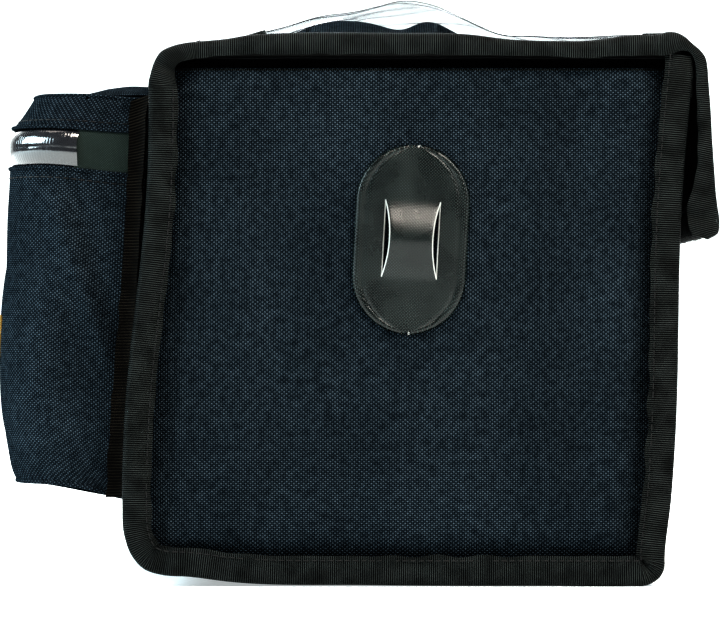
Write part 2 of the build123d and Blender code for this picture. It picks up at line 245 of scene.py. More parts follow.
def cloth(name, grid, thickness, material, slot=None, uv=None, facing=None):
    """A sheet of cloth with a thickness: grid is its outer face, and the rest lies behind it.

    facing is a direction that the outer face has to look in, whichever way the grid runs.
    """
    rows, columns, _ = grid.shape
    if facing is not None and (normals_of(grid) @ np.asarray(facing, float)).sum() < 0:
        grid = grid[:, ::-1]
        uv = None if uv is None else uv[:, ::-1]
    back = grid - normals_of(grid) * thickness
    points = np.concatenate([grid.reshape(-1, 3), back.reshape(-1, 3)])
    if uv is None:
        uv = stacked(*np.meshgrid(lengths(grid, 0), lengths(grid, 1), indexing="ij"))
    faces, uvs = [], []
    behind = rows * columns

    def add(corners):
        faces.append(tuple(i * columns + j + side * behind for i, j, side in corners))
        uvs.append([tuple(uv[i, j]) for i, j, side in corners])

    for i in range(rows - 1):
        for j in range(columns - 1):
            add([(i, j, 0), (i + 1, j, 0), (i + 1, j + 1, 0), (i, j + 1, 0)])
            add([(i, j, 1), (i, j + 1, 1), (i + 1, j + 1, 1), (i + 1, j, 1)])
    last_i, last_j = rows - 1, columns - 1
    border = [(i, 0) for i in range(last_i)] + [(last_i, j) for j in range(last_j)]
    border += [(i, last_j) for i in range(last_i, 0, -1)] + [(0, j) for j in range(last_j, 0, -1)]
    for (i, j), (k, m) in zip(border, border[1:] + border[:1]):
        add([(k, m, 0), (i, j, 0), (i, j, 1), (k, m, 1)])
    faces, flat_uvs = facing_out(points, faces, uvs)
    return piece(name, points, faces, flat_uvs, material, slot)


def tube(name, rings, material, slot=None):
    """A closed skin through these rings of points, with both ends capped."""
    count, around, _ = rings.shape
    along = lengths(rings, 0)
    closed = np.concatenate([rings, rings[:, :1]], axis=1)
    girth = lengths(closed, 1)
    points = list(rings.reshape(-1, 3))
    faces, uvs = [], []
    for i in range(count - 1):
        for j in range(around):
            k = (j + 1) % around
            faces.append((i * around + j, (i + 1) * around + j, (i + 1) * around + k, i * around + k))
            uvs.append([
                (along[i], girth[j]), (along[i + 1], girth[j]),
                (along[i + 1], girth[j + 1]), (along[i], girth[j + 1]),
            ])
    for ring, turned in ((0, False), (count - 1, True)):
        points.append(rings[ring].mean(axis=0))
        for j in range(around):
            corners = (ring * around + j, ring * around + (j + 1) % around, len(points) - 1)
            faces.append(tuple(reversed(corners)) if turned else corners)
            uvs.append([(along[ring], girth[j])] * 3)
    faces, flat_uvs = facing_out(np.array(points), faces, uvs)
    return piece(name, np.array(points), faces, flat_uvs, material, slot)


def mirrored(points, side):
    """The points as drawn for the left side, or mirrored for the right."""
    return points * np.array([1, -side, 1])


def sew(name, body, lines, normal, slot="binding_tape", length=STITCH, thickness=THREAD):
    """Lines of stitches on a body: each a small rounded capsule that lies along its line."""
    points, faces = [], []
    turns = np.linspace(0, 2 * np.pi, 6, endpoint=False)
    for line in lines:
        travel = travel_along(line)
        pitch = (length + STITCH_GAP) * MM
        for start in np.arange(pitch / 2, travel[-1] - length * MM, pitch):
            ends = [
                np.array([np.interp(start + d * MM, travel, line[:, k]) for k in range(3)])
                for d in (0, length)
            ]
            way = unit(ends[1] - ends[0])
            up = unit(np.asarray(normal, float) - way * way.dot(normal))
            across = np.cross(way, up)
            first = len(points)
            for share, size in ((0, 0.35), (0.16, 1), (0.84, 1), (1, 0.35)):
                middle = ends[0] + (ends[1] - ends[0]) * share
                for turn in turns:
                    ring = up * (np.cos(turn) * 0.8) + across * np.sin(turn)
                    points.append(middle + ring * thickness * size * MM)
            for ring in range(3):
                for j in range(6):
                    k = (j + 1) % 6
                    a, b = first + ring * 6, first + (ring + 1) * 6
                    faces.append((a + j, a + k, b + k, b + j))
            faces.append(tuple(first + j for j in range(5, -1, -1)))
            faces.append(tuple(first + 18 + j for j in range(6)))
    uvs = [(0.0, 0.0)] * sum(len(face) for face in faces)
    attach(piece(name, np.array(points), faces, uvs, thread, slot), body)


# ---- materials ----
class Shader:
    """A material's node tree, with short calls for the nodes that the cloths share."""

    def __init__(self, name):
        self.material = bpy.data.materials.new(name)
        self.material.use_nodes = True
        self.tree = self.material.node_tree
        self.surface = self.tree.nodes["Principled BSDF"]

    def add(self, kind, inputs=(), **settings):
        node = self.tree.nodes.new(kind)
        for key, value in settings.items():
            setattr(node, key, value)
        for key, value in dict(inputs).items():
            self.put(node.inputs[key], value)
        return node

    def put(self, socket, value):
        if isinstance(value, bpy.types.NodeSocket):
            self.tree.links.new(value, socket)
        else:
            socket.default_value = value

    def math(self, operation, a, b=0.0):
        return self.add("ShaderNodeMath", {0: a, 1: b}, operation=operation).outputs[0]

    def sine(self, value):
        """A sine wave that crosses zero at each whole number."""
        return self.math("SINE", self.math("MULTIPLY", value, math.pi))

    def cloth_uv(self, turn=0.0):
        uv = self.add("ShaderNodeTexCoord").outputs["UV"]
        turned = self.add("ShaderNodeMapping", {"Vector": uv, "Rotation": (0, 0, turn)})
        parts = self.add("ShaderNodeSeparateXYZ", {0: turned.outputs[0]})
        return parts.outputs[0], parts.outputs[1]

    def place(self):
        return self.add("ShaderNodeTexCoord").outputs["Object"]

    def noise(self, size_mm, detail=3.0, vector=None):
        inputs = {"Vector": vector or self.place(), "Scale": 1 / (size_mm * MM), "Detail": detail}
        return self.add("ShaderNodeTexNoise", inputs).outputs[0]

    def ramp(self, value, low, high, start=0.0, end=1.0):
        node = self.add("ShaderNodeMapRange", {0: value, 1: start, 2: end, 3: low, 4: high})
        return node.outputs[0]

    def colours(self, share, low, high):
        node = self.add("ShaderNodeMix", {0: share}, data_type="RGBA")
        self.put(node.inputs[6], (*low, 1))
        self.put(node.inputs[7], (*high, 1) if isinstance(high, tuple) else high)
        return node.outputs[2]

    def bump(self, height, depth_mm, under=None):
        inputs = {"Height": height, "Distance": depth_mm * MM, "Strength": 1.0}
        if under is not None:
            inputs["Normal"] = under
        return self.add("ShaderNodeBump", inputs).outputs[0]

    def set(self, **values):
        for key, value in values.items():
            self.put(self.surface.inputs[key.replace("_", " ")], value)

    def level(self, specular):
        self.surface.inputs["Specular IOR Level"].default_value = specular


def weave_height(shader, warp, weft, turn=0.0):
    """The plain weave: a raised oval where a warp yarn is on top, a lower one for the weft."""
    u, v = shader.cloth_uv(turn)
    across = shader.sine(shader.math("DIVIDE", u, warp * MM))
    along = shader.sine(shader.math("DIVIDE", v, weft * MM))
    cell = shader.math("MULTIPLY", across, along)
    over = shader.math("POWER", shader.math("MAXIMUM", cell, 0.0), 1.1)
    under = shader.math("POWER", shader.math("MAXIMUM", shader.math("MULTIPLY", cell, -1.0), 0.0), 1.1)
    return shader.math("ADD", over, shader.math("MULTIPLY", under, 0.2))


def woven(name, low, high, warp=WARP, weft=WEFT, depth=0.3, roughness=0.55, specular=0.03,
          sheen=0.0, turn=0.0):
    shader = Shader(name)
    height = weave_height(shader, warp, weft, turn)
    slub = shader.noise(3.0, 4.0)
    wear = shader.noise(45.0, 5.0)
    # Painted shade and highlight: the weave's height sets the colour, dark in the gaps between the yarns
    # and bright on the yarn tops; the slub varies it at random.
    lit = shader.math("MULTIPLY", height, shader.ramp(slub, 0.55, 1.35, 0.3, 0.7))
    tone = shader.colours(shader.math("MINIMUM", lit, 1.0), low, high)
    shade = shader.ramp(wear, 0.8, 1.2, 0.3, 0.7)
    tone = shader.add("ShaderNodeVectorMath", {0: tone, 1: shade}, operation="MULTIPLY").outputs[0]
    shader.set(
        Base_Color=tone,
        Roughness=shader.ramp(slub, roughness - 0.08, roughness + 0.1, 0.3, 0.7),
        Normal=shader.bump(height, depth, shader.bump(slub, 0.05)),
        Sheen_Weight=sheen,
        Sheen_Roughness=0.4,
    )
    shader.level(specular)
    return shader.material


def ribbed(name, low, high, pitch=RIB, depth=0.26, roughness=0.55, specular=0.03):
    """Grosgrain: fine ribs that run across the tape, with painted shade between the ribs and a painted
    highlight on their crests.
    """
    shader = Shader(name)
    along, _ = shader.cloth_uv()
    drift = shader.math("MULTIPLY", shader.noise(14.0), 0.35)
    turns = shader.math("ADD", shader.math("DIVIDE", along, pitch * MM), drift)
    rib = shader.sine(shader.math("MULTIPLY", turns, 2.0))
    height = shader.math("POWER", shader.ramp(rib, 0.0, 1.0, -1.0, 1.0), 2.6)
    fuzz = shader.noise(0.5, 2.0)
    patchy = shader.noise(9.0, 4.0)
    # Painted shade and highlight: the ribs' height sets the colour, dark between the ribs and bright on
    # their crests; patchy varies it at random.
    lit = shader.math("MULTIPLY", height, shader.ramp(patchy, 0.4, 1.3, 0.3, 0.7))
    shader.set(
        Base_Color=shader.colours(shader.math("MINIMUM", lit, 1.0), low, high),
        Roughness=roughness,
        Normal=shader.bump(height, depth, shader.bump(fuzz, 0.04)),
    )
    shader.level(specular)
    return shader.material


def coated(name, low, high, roughness=0.42, specular=0.4, depth=0.05, yarn=0.5):
    """Rubber-coated cloth: the fine weave under the coat shows through, in its bumps and in painted shade
    and highlight.
    """
    shader = Shader(name)
    height = weave_height(shader, yarn, yarn)
    smear = shader.noise(12.0, 5.0)
    # Painted shade and highlight: the weave's height sets the colour, dark between the yarns and bright on
    # their tops; the smear varies it at random.
    lit = shader.math("MULTIPLY", height, shader.ramp(smear, 0.5, 1.2, 0.3, 0.7))
    shader.set(
        Base_Color=shader.colours(shader.math("MINIMUM", lit, 1.0), low, high),
        Roughness=shader.ramp(smear, roughness - 0.07, roughness + 0.1, 0.3, 0.7),
        Normal=shader.bump(height, depth),
    )
    shader.level(specular)
    return shader.material


def glossy_zip(name):
    """Polyurethane-coated zip tape: mirror-smooth, with the coil's turns just showing through."""
    shader = Shader(name)
    along, _ = shader.cloth_uv()
    turns = shader.sine(shader.math("DIVIDE", along, 0.65 * MM))
    waves = shader.noise(5.0, 2.0)
    shader.set(
        Base_Color=shader.colours(waves, (0.004, 0.004, 0.005), (0.012, 0.013, 0.015)),
        Roughness=shader.ramp(waves, 0.08, 0.16, 0.3, 0.7),
        Normal=shader.bump(turns, 0.03, shader.bump(waves, 0.35)),
        IOR=1.5,
        Coat_Weight=1.0,
        Coat_Roughness=0.05,
        Coat_IOR=1.5,
    )
    return shader.material


def clear_sheet(name):
    shader = Shader(name)
    waves = shader.noise(18.0, 2.0)
    shader.set(
        Base_Color=(0.97, 0.985, 1.0, 1),
        Roughness=0.05,
        IOR=1.03,
        Transmission_Weight=1.0,
        Normal=shader.bump(waves, 0.12),
        Coat_Weight=0.4,
        Coat_Roughness=0.12,
        Coat_IOR=1.35,
    )
    return shader.material


def plain(name, low, high, roughness, specular=0.4, metallic=0.0, grain=1.2, depth=0.04):
    """Moulded, cast or foamed stuff: a fine grain and a slow change of tone."""
    shader = Shader(name)
    fine, broad = shader.noise(grain, 4.0), shader.noise(25.0)
    shader.set(
        Base_Color=shader.colours(shader.ramp(broad, 0.0, 1.0, 0.3, 0.7), low, high),
        Roughness=shader.ramp(fine, roughness - 0.06, roughness + 0.06, 0.3, 0.7),
        Metallic=metallic,
        Normal=shader.bump(fine, depth),
    )
    shader.level(specular)
    return shader.material


# The woven fabric's colour in its painted shade between the yarns (low) and in its painted highlight on the
# yarn tops (high).
FABRIC_LOW, FABRIC_HIGH = (0.0010, 0.0016, 0.0024), (0.047, 0.065, 0.080)
bag_fabric = woven("bag_fabric", FABRIC_LOW, FABRIC_HIGH, specular=0.0)
lining_fabric = woven(
    "lining_fabric", (0.004, 0.0045, 0.005), (0.020, 0.022, 0.024), 0.34, 0.34, 0.04, 0.6, 0.1
)
binding_tape = ribbed("binding_tape", (0.0001, 0.0001, 0.0001), (0.031, 0.036, 0.035))
edge_webbing = ribbed("edge_webbing", (0.0004, 0.0003, 0.0003), (0.015, 0.013, 0.010), 1.2, 0.35)
patch_fabric = coated("patch_fabric", (0.0005, 0.001, 0.001), (0.022, 0.034, 0.032), 0.27, 0.30,
                      0.06, yarn=0.62)
# The slits' cut faces: a pale colour painted on as a highlight where the edges catch the light.
patch_edge_highlight = plain("patch_edge_highlight", (0.22, 0.23, 0.22), (0.42, 0.43, 0.42), 0.7, 0.2, grain=0.6)
tab_fabric = coated("tab_fabric", (0.006, 0.009, 0.008), (0.034, 0.048, 0.043), 0.62, 0.04, 0.03)
coated_zip = glossy_zip("coated_zip")
thread = plain("thread", (0.002, 0.002, 0.002), (0.006, 0.006, 0.006), 0.55, 0.2, grain=0.4)
label_weave = woven(
    "label_weave", (0.16, 0.085, 0.01), (0.62, 0.40, 0.06), 0.3, 0.3, 0.04, 0.55, 0.3
)
hook_and_loop = plain("hook_and_loop", (0.003, 0.003, 0.003), (0.02, 0.02, 0.02), 0.85, 0.1,
                      grain=0.5, depth=0.5)
slider_metal = plain("slider_metal", (0.010, 0.010, 0.011), (0.018, 0.018, 0.02), 0.32, 0.5)
zip_coil = plain("zip_coil", (0.006, 0.006, 0.006), (0.014, 0.014, 0.014), 0.45)
board = plain("stiffener_board", (0.003, 0.003, 0.003), (0.006, 0.006, 0.006), 0.6, 0.1)
foam = plain("foam", (0.05, 0.05, 0.05), (0.08, 0.08, 0.08), 0.9, 0.1, grain=0.9, depth=0.2)
clear_film = clear_sheet("clear_film")


# ---- shape of the tub ----
def front_x(z):
    return FRONT + LEAN * z / RIM


def back_x(z):
    return BACK + LEAN * z / RIM


# All in mm: how far the padding swells, and how far it dips along the seams and at the rim.
SIDE_SWELL, SEAM_DIP, RIM_DIP = 2.6, 5.4, 2.4
# Slack folds that run in from the lower corners and down from the lid's ends: middle (x, z) in mm,
# slope in radians and height in mm.
SLACK_FOLDS = ((-70, 30, 1.0, 0.8), (72, 34, -0.9, 0.7), (84, 165, 1.3, 0.6))


def pillow(x, z):
    """How far the padded side stands out past its flat place."""
    u = (x - front_x(z)) / (BACK - FRONT)
    v = z / RIM
    from_edge = np.minimum.reduce([x - front_x(z), back_x(z) - x, z + 0 * x])
    swell = SIDE_SWELL * arch(u, 0.8) * arch(0.04 + 0.86 * v, 0.7) + 0.2
    swell += 0.55 * crumple(11, x, z, 75 * MM) * arch(u, 0.5)
    swell -= SEAM_DIP * (1 - ease((from_edge - 8 * MM) / (15 * MM)) ** 0.8)
    swell -= RIM_DIP * (1 - ease((RIM - z) / (12 * MM))) * arch(u, 0.3)
    for x_mid, z_mid, slope, size in SLACK_FOLDS:
        off = (x - x_mid * MM) * math.sin(slope) - (z - z_mid * MM) * math.cos(slope)
        near = bump_at(x, z, x_mid * MM, z_mid * MM, 34 * MM, 34 * MM)
        swell += size * near * np.cos(off / (5 * MM))
    return swell * MM


def hollow(x, z):
    """How far the side gives way behind the band of its lash patch."""
    across = np.abs(x - PATCH_X - (z - PATCH_Z) * LEAN / RIM) / MM
    up = np.abs(z - PATCH_Z) / MM
    return HOLLOW * MM * (1 - ease((across - SLIT) / 4)) * (1 - ease((up - SLIT_HALF + 4) / 5))


def side_panel(side):
    z, u = grid_of(1.5 * MM, RIM, 110, 0, 1, 120)
    x = front_x(z) + 1.5 * MM + u * (BACK - FRONT - 3 * MM)
    x = np.maximum(x, toe_x(z) + 1.2 * MM)
    z = np.maximum(z, sole_z(x) + 1.2 * MM)
    grid = stacked(x, -(SIDE + pillow(x, z) - hollow(x, z)), z)
    word = WORD[side]
    made = cloth(f"side_cloth_{word}", mirrored(grid, side), FABRIC, bag_fabric,
                 uv=stacked(x, z), facing=(0, side, 0))
    settle(made, "tub", f"{word}_side_panel")


def side_foam(side):
    """The padding behind a side, which gives it its swell."""
    z, u = grid_of(13 * MM, RIM - 4 * MM, 30, 0.06, 0.94, 30)
    x = front_x(z) + u * (BACK - FRONT)
    x = np.maximum(x, toe_x(z) + 3 * MM)
    grid = stacked(x, -(SIDE + pillow(x, z) - 1.4 * hollow(x, z) - FABRIC - 0.2 * MM), z)
    word = WORD[side]
    made = cloth(f"side_foam_{word}", mirrored(grid, side), FOAM_THICK * MM, foam, facing=(0, side, 0))
    settle(made, "tub", f"{word}_side_foam")


def toe_x(z):
    """The front wall's line at its rounded foot."""
    line = seam_outline()
    toe = line[: int(np.argmin(np.abs(line[:, 0] + 82 * MM) + np.abs(line[:, 1]) * 2))]
    order = np.argsort(toe[:, 1])
    return np.interp(z, toe[order, 1], toe[order, 0])


def sole_z(x):
    """The height of the base's line above the ground."""
    line = seam_outline()
    base = line[(line[:, 1] < 9 * MM)]
    order = np.argsort(base[:, 0])
    return np.interp(x, base[order, 0], base[order, 1])


def stiffeners():
    """The boards behind the front wall, the base and the back wall."""
    deep = FABRIC + 0.9 * MM
    half = -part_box("base_board")[0].y
    for name, node, along in (
        ("front_stiffener", "front_board", np.linspace(RIM - 4 * MM, 24 * MM, 40)),
        ("base_stiffener", "base_board", np.linspace(FRONT + 12 * MM, BACK - 8 * MM, 60)),
        ("back_stiffener", "back_board", np.linspace(12 * MM, RIM - 4 * MM, 40)),
    ):
        run, y = np.meshgrid(along, np.linspace(-half, half, 20), indexing="ij")
        if node == "front_board":
            grid = stacked(np.maximum(front_x(run), toe_x(run)) + deep, y, run)
        elif node == "base_board":
            grid = stacked(run, y, sole_z(run) + deep)
        else:
            grid = stacked(back_x(run) - deep, y, run)
        settle(cloth(name, grid[:, ::-1], BOARD_THICK * MM, board), "tub", node)


def end_panels():
    """The front wall, the base and the back wall, which follow the outline of the seams."""
    line = seam_outline()[4:-4:2]
    way = unit(np.gradient(line, axis=0))
    line = line + stacked(-way[:, 1], way[:, 0]) * 0.7 * MM
    corners = [np.argmin(np.hypot(line[:, 0] - x, line[:, 1])) for x in (FRONT, BACK)]
    for name, node, start, end in (
        ("front_cloth", "front_panel", 0, corners[0] + 1),
        ("base_cloth", "base_panel", corners[0], corners[1] + 1),
        ("back_cloth", "back_panel", corners[1], len(line)),
    ):
        part = line[start:end]
        y, _ = np.meshgrid(np.linspace(-SIDE, SIDE, 80), part[:, 0])
        x, z = np.repeat(part[:, :1], 80, axis=1), np.repeat(part[:, 1:], 80, axis=1)
        swell = arch(z / RIM, 0.8) * arch(0.5 + y / SIDE / 2, 0.5)
        creased = crumple(21, y, z + x, 60 * MM)
        if node == "front_panel":
            x = x - (0.6 + 0.35 * creased) * swell * MM
        elif node == "back_panel":
            low = 1 - ease((z - 110 * MM) / (40 * MM))
            x = x + (2.2 + 0.5 * creased) * swell * low * MM
        z = np.maximum(z, 0.05 * MM)
        grid = stacked(x, y, z)[:, ::-1]
        settle(cloth(name, grid, FABRIC, bag_fabric), "tub", node)


# ---- bound seams ----
# A folded tape in section: (share of the way from its outer to its inner edge, mm standing out).
FIN = (
    (0.00, -0.8), (-0.01, 1.6), (0.01, 3.2), (0.06, 4.6), (0.18, 5.5), (0.42, 5.8), (0.66, 5.6),
    (0.86, 5.2), (1.00, 4.7), (1.00, 4.0), (0.86, 4.4), (0.66, 4.8), (0.42, 5.0), (0.24, 4.4),
    (0.14, 2.6), (0.12, -0.8),
)
# The lid's tape comes over the edge from the lid's top.
OVER = (
    (0.34, -10.0), (0.20, -7.0), (0.06, -3.6), (0.00, -0.8), (0.02, 1.6), (0.14, 3.8), (0.34, 5.0),
    (0.58, 5.4), (0.82, 5.3), (1.00, 4.9), (1.00, 4.2), (0.82, 4.5), (0.58, 4.6), (0.36, 4.1),
    (0.20, 2.6), (0.12, 0.4), (0.14, -3.6), (0.28, -7.0), (0.42, -10.0),
)


SECTION_POINTS = 26
TUCK_RUN = 9 * MM  # the length over which a tape's end sinks in
CREASE_HALF = 2.6 * MM


def tape(name, side, outer, inner, section, seed, last=None, wave=0.45, crease=(), tuck=0.0):
    """A folded tape along a seam on the bag's side: outer and inner are its edges, (x, z).

    Its section changes to the last one along it. crease names places, 0 to 1, where it is folded
    over itself, and tuck is how far its end sinks in (mm).
    """
    travel = travel_along(outer)
    at = travel / travel[-1]
    change = ease(at)[:, None]
    share, stand = (
        first[None] * (1 - change) + final[None] * change
        for first, final in zip(outline(section, SECTION_POINTS).T,
                                outline(last or section, SECTION_POINTS).T)
    )
    flare = ripple(seed, travel, 34 * MM)
    edge = ripple(seed + 1, travel, 13 * MM)
    folds_here = (np.exp(-(((at - c) * travel[-1] / CREASE_HALF) ** 2)) for c in crease)
    fold = sum(folds_here, np.zeros_like(at))
    reach = share + (wave / TAPE_WIDTH) * edge[:, None] * ease(share * 1.3)
    rings = outer[:, None] + reach[..., None] * (inner - outer)[:, None]
    out = stand + 0.35 * flare[:, None] * ease(share + 0.2)
    out = out + wave * edge[:, None] * ease((share - 0.55) * 2.2)
    out = out - 1.7 * fold[:, None] * ease((stand - 1.0) / 2)
    near_end = ease((travel - travel[-1] + TUCK_RUN) / TUCK_RUN)
    out = out - tuck * near_end[:, None]
    points = stacked(rings[..., 0], -(SIDE + out * MM), rings[..., 1])
    return tube(name, mirrored(points, side), binding_tape)


SEAM_WAVE = 190  # the seams' uprights waver with this wavelength (mm)
# The seam's outer edge round the two lower corners, from the front wall and from the back wall (mm).
TOE_CORNER = ((1.6, 21), (4.6, 12.5), (9.6, 7), (17, 4.6), (27, 4.0), (44, 1.9))
HEEL_CORNER = ((-14, 0.2), (-6.5, 0.6), (-1.8, 3.4), (0.1, 7.0), (0.3, 12))


def seam_outline():
    """The outer edge of the bound seam round the side, from the front rim to the back rim."""
    up = np.array([HINGE_Z / MM - 9.5, 184, 160, 136, 113, 90, 70, 50, 34])
    bow = 1.9 * np.sin(2 * np.pi * (up - 113) / SEAM_WAVE)
    front = [(front_x(z * MM) + b * MM, z * MM) for z, b in zip(up, bow)]
    corner = [(FRONT + x * MM, z * MM) for x, z in TOE_CORNER]
    base = [(x * MM, z * MM) for x, z in ((-10, 0.6), (25, 0.3), (62, 0.3))]
    heel = [(BACK + x * MM, z * MM) for x, z in HEEL_CORNER]
    up = np.array([34, 60, 82, 105, 128, 142, 156, 180, 202, 212.5])
    bow = -1.3 * np.sin(2 * np.pi * (up - 105) / SEAM_WAVE)
    back = [(back_x(z * MM) + b * MM, z * MM) for z, b in zip(up, bow)]
    return outline(front + corner + base + heel + back, 300)


SEAM_LINE = 0.86  # the seam's stitches lie this share of the way across its tape
SEAM_LINE_OUT = 5.4 * MM


def seam_binding(side):
    """The folded tape round a side, from the front rim under the base to the back rim."""
    outer = seam_outline()
    way = unit(np.gradient(outer, axis=0))
    inward = stacked(-way[:, 1], way[:, 0])
    inner = outer + inward * TAPE_WIDTH * MM
    width = TAPE_WIDTH * MM
    inner[:, 1] = np.maximum(inner[:, 1], width + 0.6 * MM)
    low, high = front_x(inner[:, 1]) + width - 3 * MM, back_x(inner[:, 1]) - width + 2.5 * MM
    inner[:, 0] = np.clip(inner[:, 0], low, high)
    heel, toe = (
        np.argmin(np.linalg.norm(outer - np.array(corner), axis=1)) / len(outer)
        for corner in ((BACK, 3 * MM), (FRONT + 10 * MM, 7 * MM))
    )
    word = WORD[side]
    made = tape(f"seam_tape_{word}", side, outer, inner, FIN, 40 + side,
                crease=(heel, toe + 0.012), tuck=2.6)
    settle(made, "tub", f"{word}_seam_binding")
    middle = outer + (inner - outer) * SEAM_LINE
    line = stacked(middle[:, 0], np.full(len(middle), -(SIDE + SEAM_LINE_OUT)), middle[:, 1])
    sew(f"seam_stitches_{word}", "tub", [mirrored(line, side)], (0, side, 0))


# ---- lid ----
# Swells of the lid's cloth: height, middle (x, y) and reach (x, y), all in mm.
LID_SWELLS = ((13.0, -19, -84, 27, 40), (10.0, 16, -92, 13, 28))


def lid_crown(x, y):
    """Height of the lid's cloth above its edge: it swells, most of all towards the left front."""
    u = (x - HINGE_X) / (LID_REAR - HINGE_X)
    v = 0.5 + y / LID_HALF / 2
    rise = 7.5 * arch(u, 0.8) * arch(v, 0.6)
    for size, x_mid, y_mid, x_wide, y_wide in LID_SWELLS:
        near = bump_at(x, y, x_mid * MM, y_mid * MM, x_wide * MM, y_wide * MM)
        rise += size * near * arch(v, 0.4)
    rise -= 3.0 * bump_at(x, y, 4 * MM, -96 * MM, 7 * MM, 24 * MM)
    rise += 0.5 * crumple(31, x, y, 45 * MM) * arch(u) * arch(v)
    return rise * MM


LID_SEAM = 15 * MM  # the lid's cloth is seamed to the strips over the two folds this far in


def lid_cloth():
    """The lid's top and its lining."""
    x, y = grid_of(HINGE_X + LID_SEAM, FLAP_X - LID_SEAM, 90, -LID_HALF, LID_HALF, 90)
    grid = stacked(x, y, LID_TOP + lid_crown(x, y))
    settle(cloth("lid_cloth", grid, FABRIC, bag_fabric), "lid", "lid_panel")

    inset = LID_HALF - 9 * MM
    x, y = grid_of(HINGE_X + 4 * MM, LID_REAR, 60, -inset, inset, 70)
    u, v = (x - HINGE_X) / (LID_REAR - HINGE_X), 0.5 + y / LID_HALF / 2
    sag = 0.35 * crumple(32, x, y, 40 * MM) * arch(u, 0.5) * arch(v, 0.5)
    grid = stacked(x, y, LID_UNDER + (0.1 - sag) * MM)[:, ::-1]
    settle(cloth("lid_inside", grid, LINING * 0.6, lining_fabric), "lid", "lid_lining")


def fold_strip(name, profile, half, replaced, seed):
    """The cloth over a fold: profile is its outer face, (x, z), and it runs right across."""
    line = outline(profile, 34)
    y = np.linspace(-half, half, 90)
    wave = ripple(seed, y, 60 * MM) * 0.5 * MM
    middle = arch(np.linspace(0, 1, len(line)), 0.8)
    grid = np.empty((len(line), len(y), 3))
    grid[..., 0] = line[:, 0, None] + (wave[None] * middle[:, None]) * 0.5
    grid[..., 1] = y[None]
    grid[..., 2] = line[:, 1, None] + wave[None] * middle[:, None]
    made = cloth(name, grid, FABRIC, bag_fabric)
    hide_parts(replaced)
    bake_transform(made)
    return made


def folds():
    """The strips of cloth that the lid and the flap turn on."""
    z = LID_TOP
    seam_x = HINGE_X + LID_SEAM + 3 * MM
    rise = lid_crown(np.array([seam_x]), np.array([0.0]))[0]
    front = [
        (front_x(188 * MM) + 0.6 * MM, 188 * MM), (HINGE_X - 1.7 * MM, HINGE_Z - 11 * MM),
        (HINGE_X - 1.0 * MM, HINGE_Z - 5 * MM), (HINGE_X + 0.2 * MM, HINGE_Z + 0.2 * MM),
        (HINGE_X + 3.0 * MM, HINGE_Z + 3.6 * MM), (HINGE_X + 8 * MM, HINGE_Z + 5.7 * MM),
        (seam_x, z + rise + 0.7 * MM),
    ]
    fold_strip("front_fold_strip", front, SIDE - 1 * MM, "lid_fold", 51)

    seam_x = FLAP_X - LID_SEAM - 3 * MM
    rise = lid_crown(np.array([seam_x]), np.array([0.0]))[0]
    rear = [
        (seam_x, z + rise + 0.7 * MM), (FLAP_X - 10 * MM, z + 4.4 * MM), (FLAP_X - 5 * MM, z + 2.8 * MM),
        (FLAP_X - 1.0 * MM, z - 0.6 * MM), (FLAP_X + 1.4 * MM, z - 5 * MM),
        (FLAP_X + 2.4 * MM, FLAP_Z - 12 * MM), (FLAP_X + 3.4 * MM, FLAP_Z - 18 * MM),
    ]
    fold_strip("rear_fold_strip", rear, LID_HALF - 0.5 * MM, "flap_fold", 52)


# The lid tape's upper and lower edges: (x, height above the lid's edge), mm.
LID_TAPE_TOP = (
    (-78, 2.6), (-66.8, 3.6), (-57, 5.2), (-44, 5.9), (0, 6.0), (30, 5.5), (48, 3.4), (67, 2.8),
    (78, 2.9), (87, 3.9), (93, 4.9), (107, 5.4),
)
LID_TAPE_FOOT = (
    (-78, -4.2), (-66, -3.0), (-40, -2.5), (10, -2.4), (45, -3.0), (67, -3.5), (80, -4.0),
    (92, -3.1), (107, -2.9),
)
# The corner tapes' edges, from the front fold and from the rear fold (mm).
FRONT_CORNER_OUT = (
    (-2.6, -11), (-2.4, -8), (-1.7, -4.6), (-0.4, -0.2), (2.3, 4.0), (7.1, 6.4), (12.0, 7.6),
    (17.1, 8.2),
)
FRONT_CORNER_IN = (
    (8.6, -11), (8.2, -7.6), (8.0, -4.4), (8.6, -2.0), (10.2, -0.2), (12.2, 0.6), (14.4, 1.0),
    (17.1, 1.4),
)
REAR_CORNER_OUT = (
    (-16.6, 8.9), (-13.1, 9.9), (-10.0, 9.8), (-6.0, 7.9), (-3.3, 5.3), (-0.2, 2.6), (2.0, -0.4),
    (2.9, -5.0), (3.1, -9.0),
)
REAR_CORNER_IN = (
    (-16.6, 0.6), (-13.6, 0.6), (-11.0, 1.2), (-8.4, 2.2), (-4.6, 1.6), (-2.5, -1.6), (-2.0, -4.0),
    (-1.9, -6.5), (-1.9, -9.0),
)


def from_hinge(points, hinge_x, hinge_z, count):
    return outline([(hinge_x + x * MM, hinge_z + z * MM) for x, z in points], count)


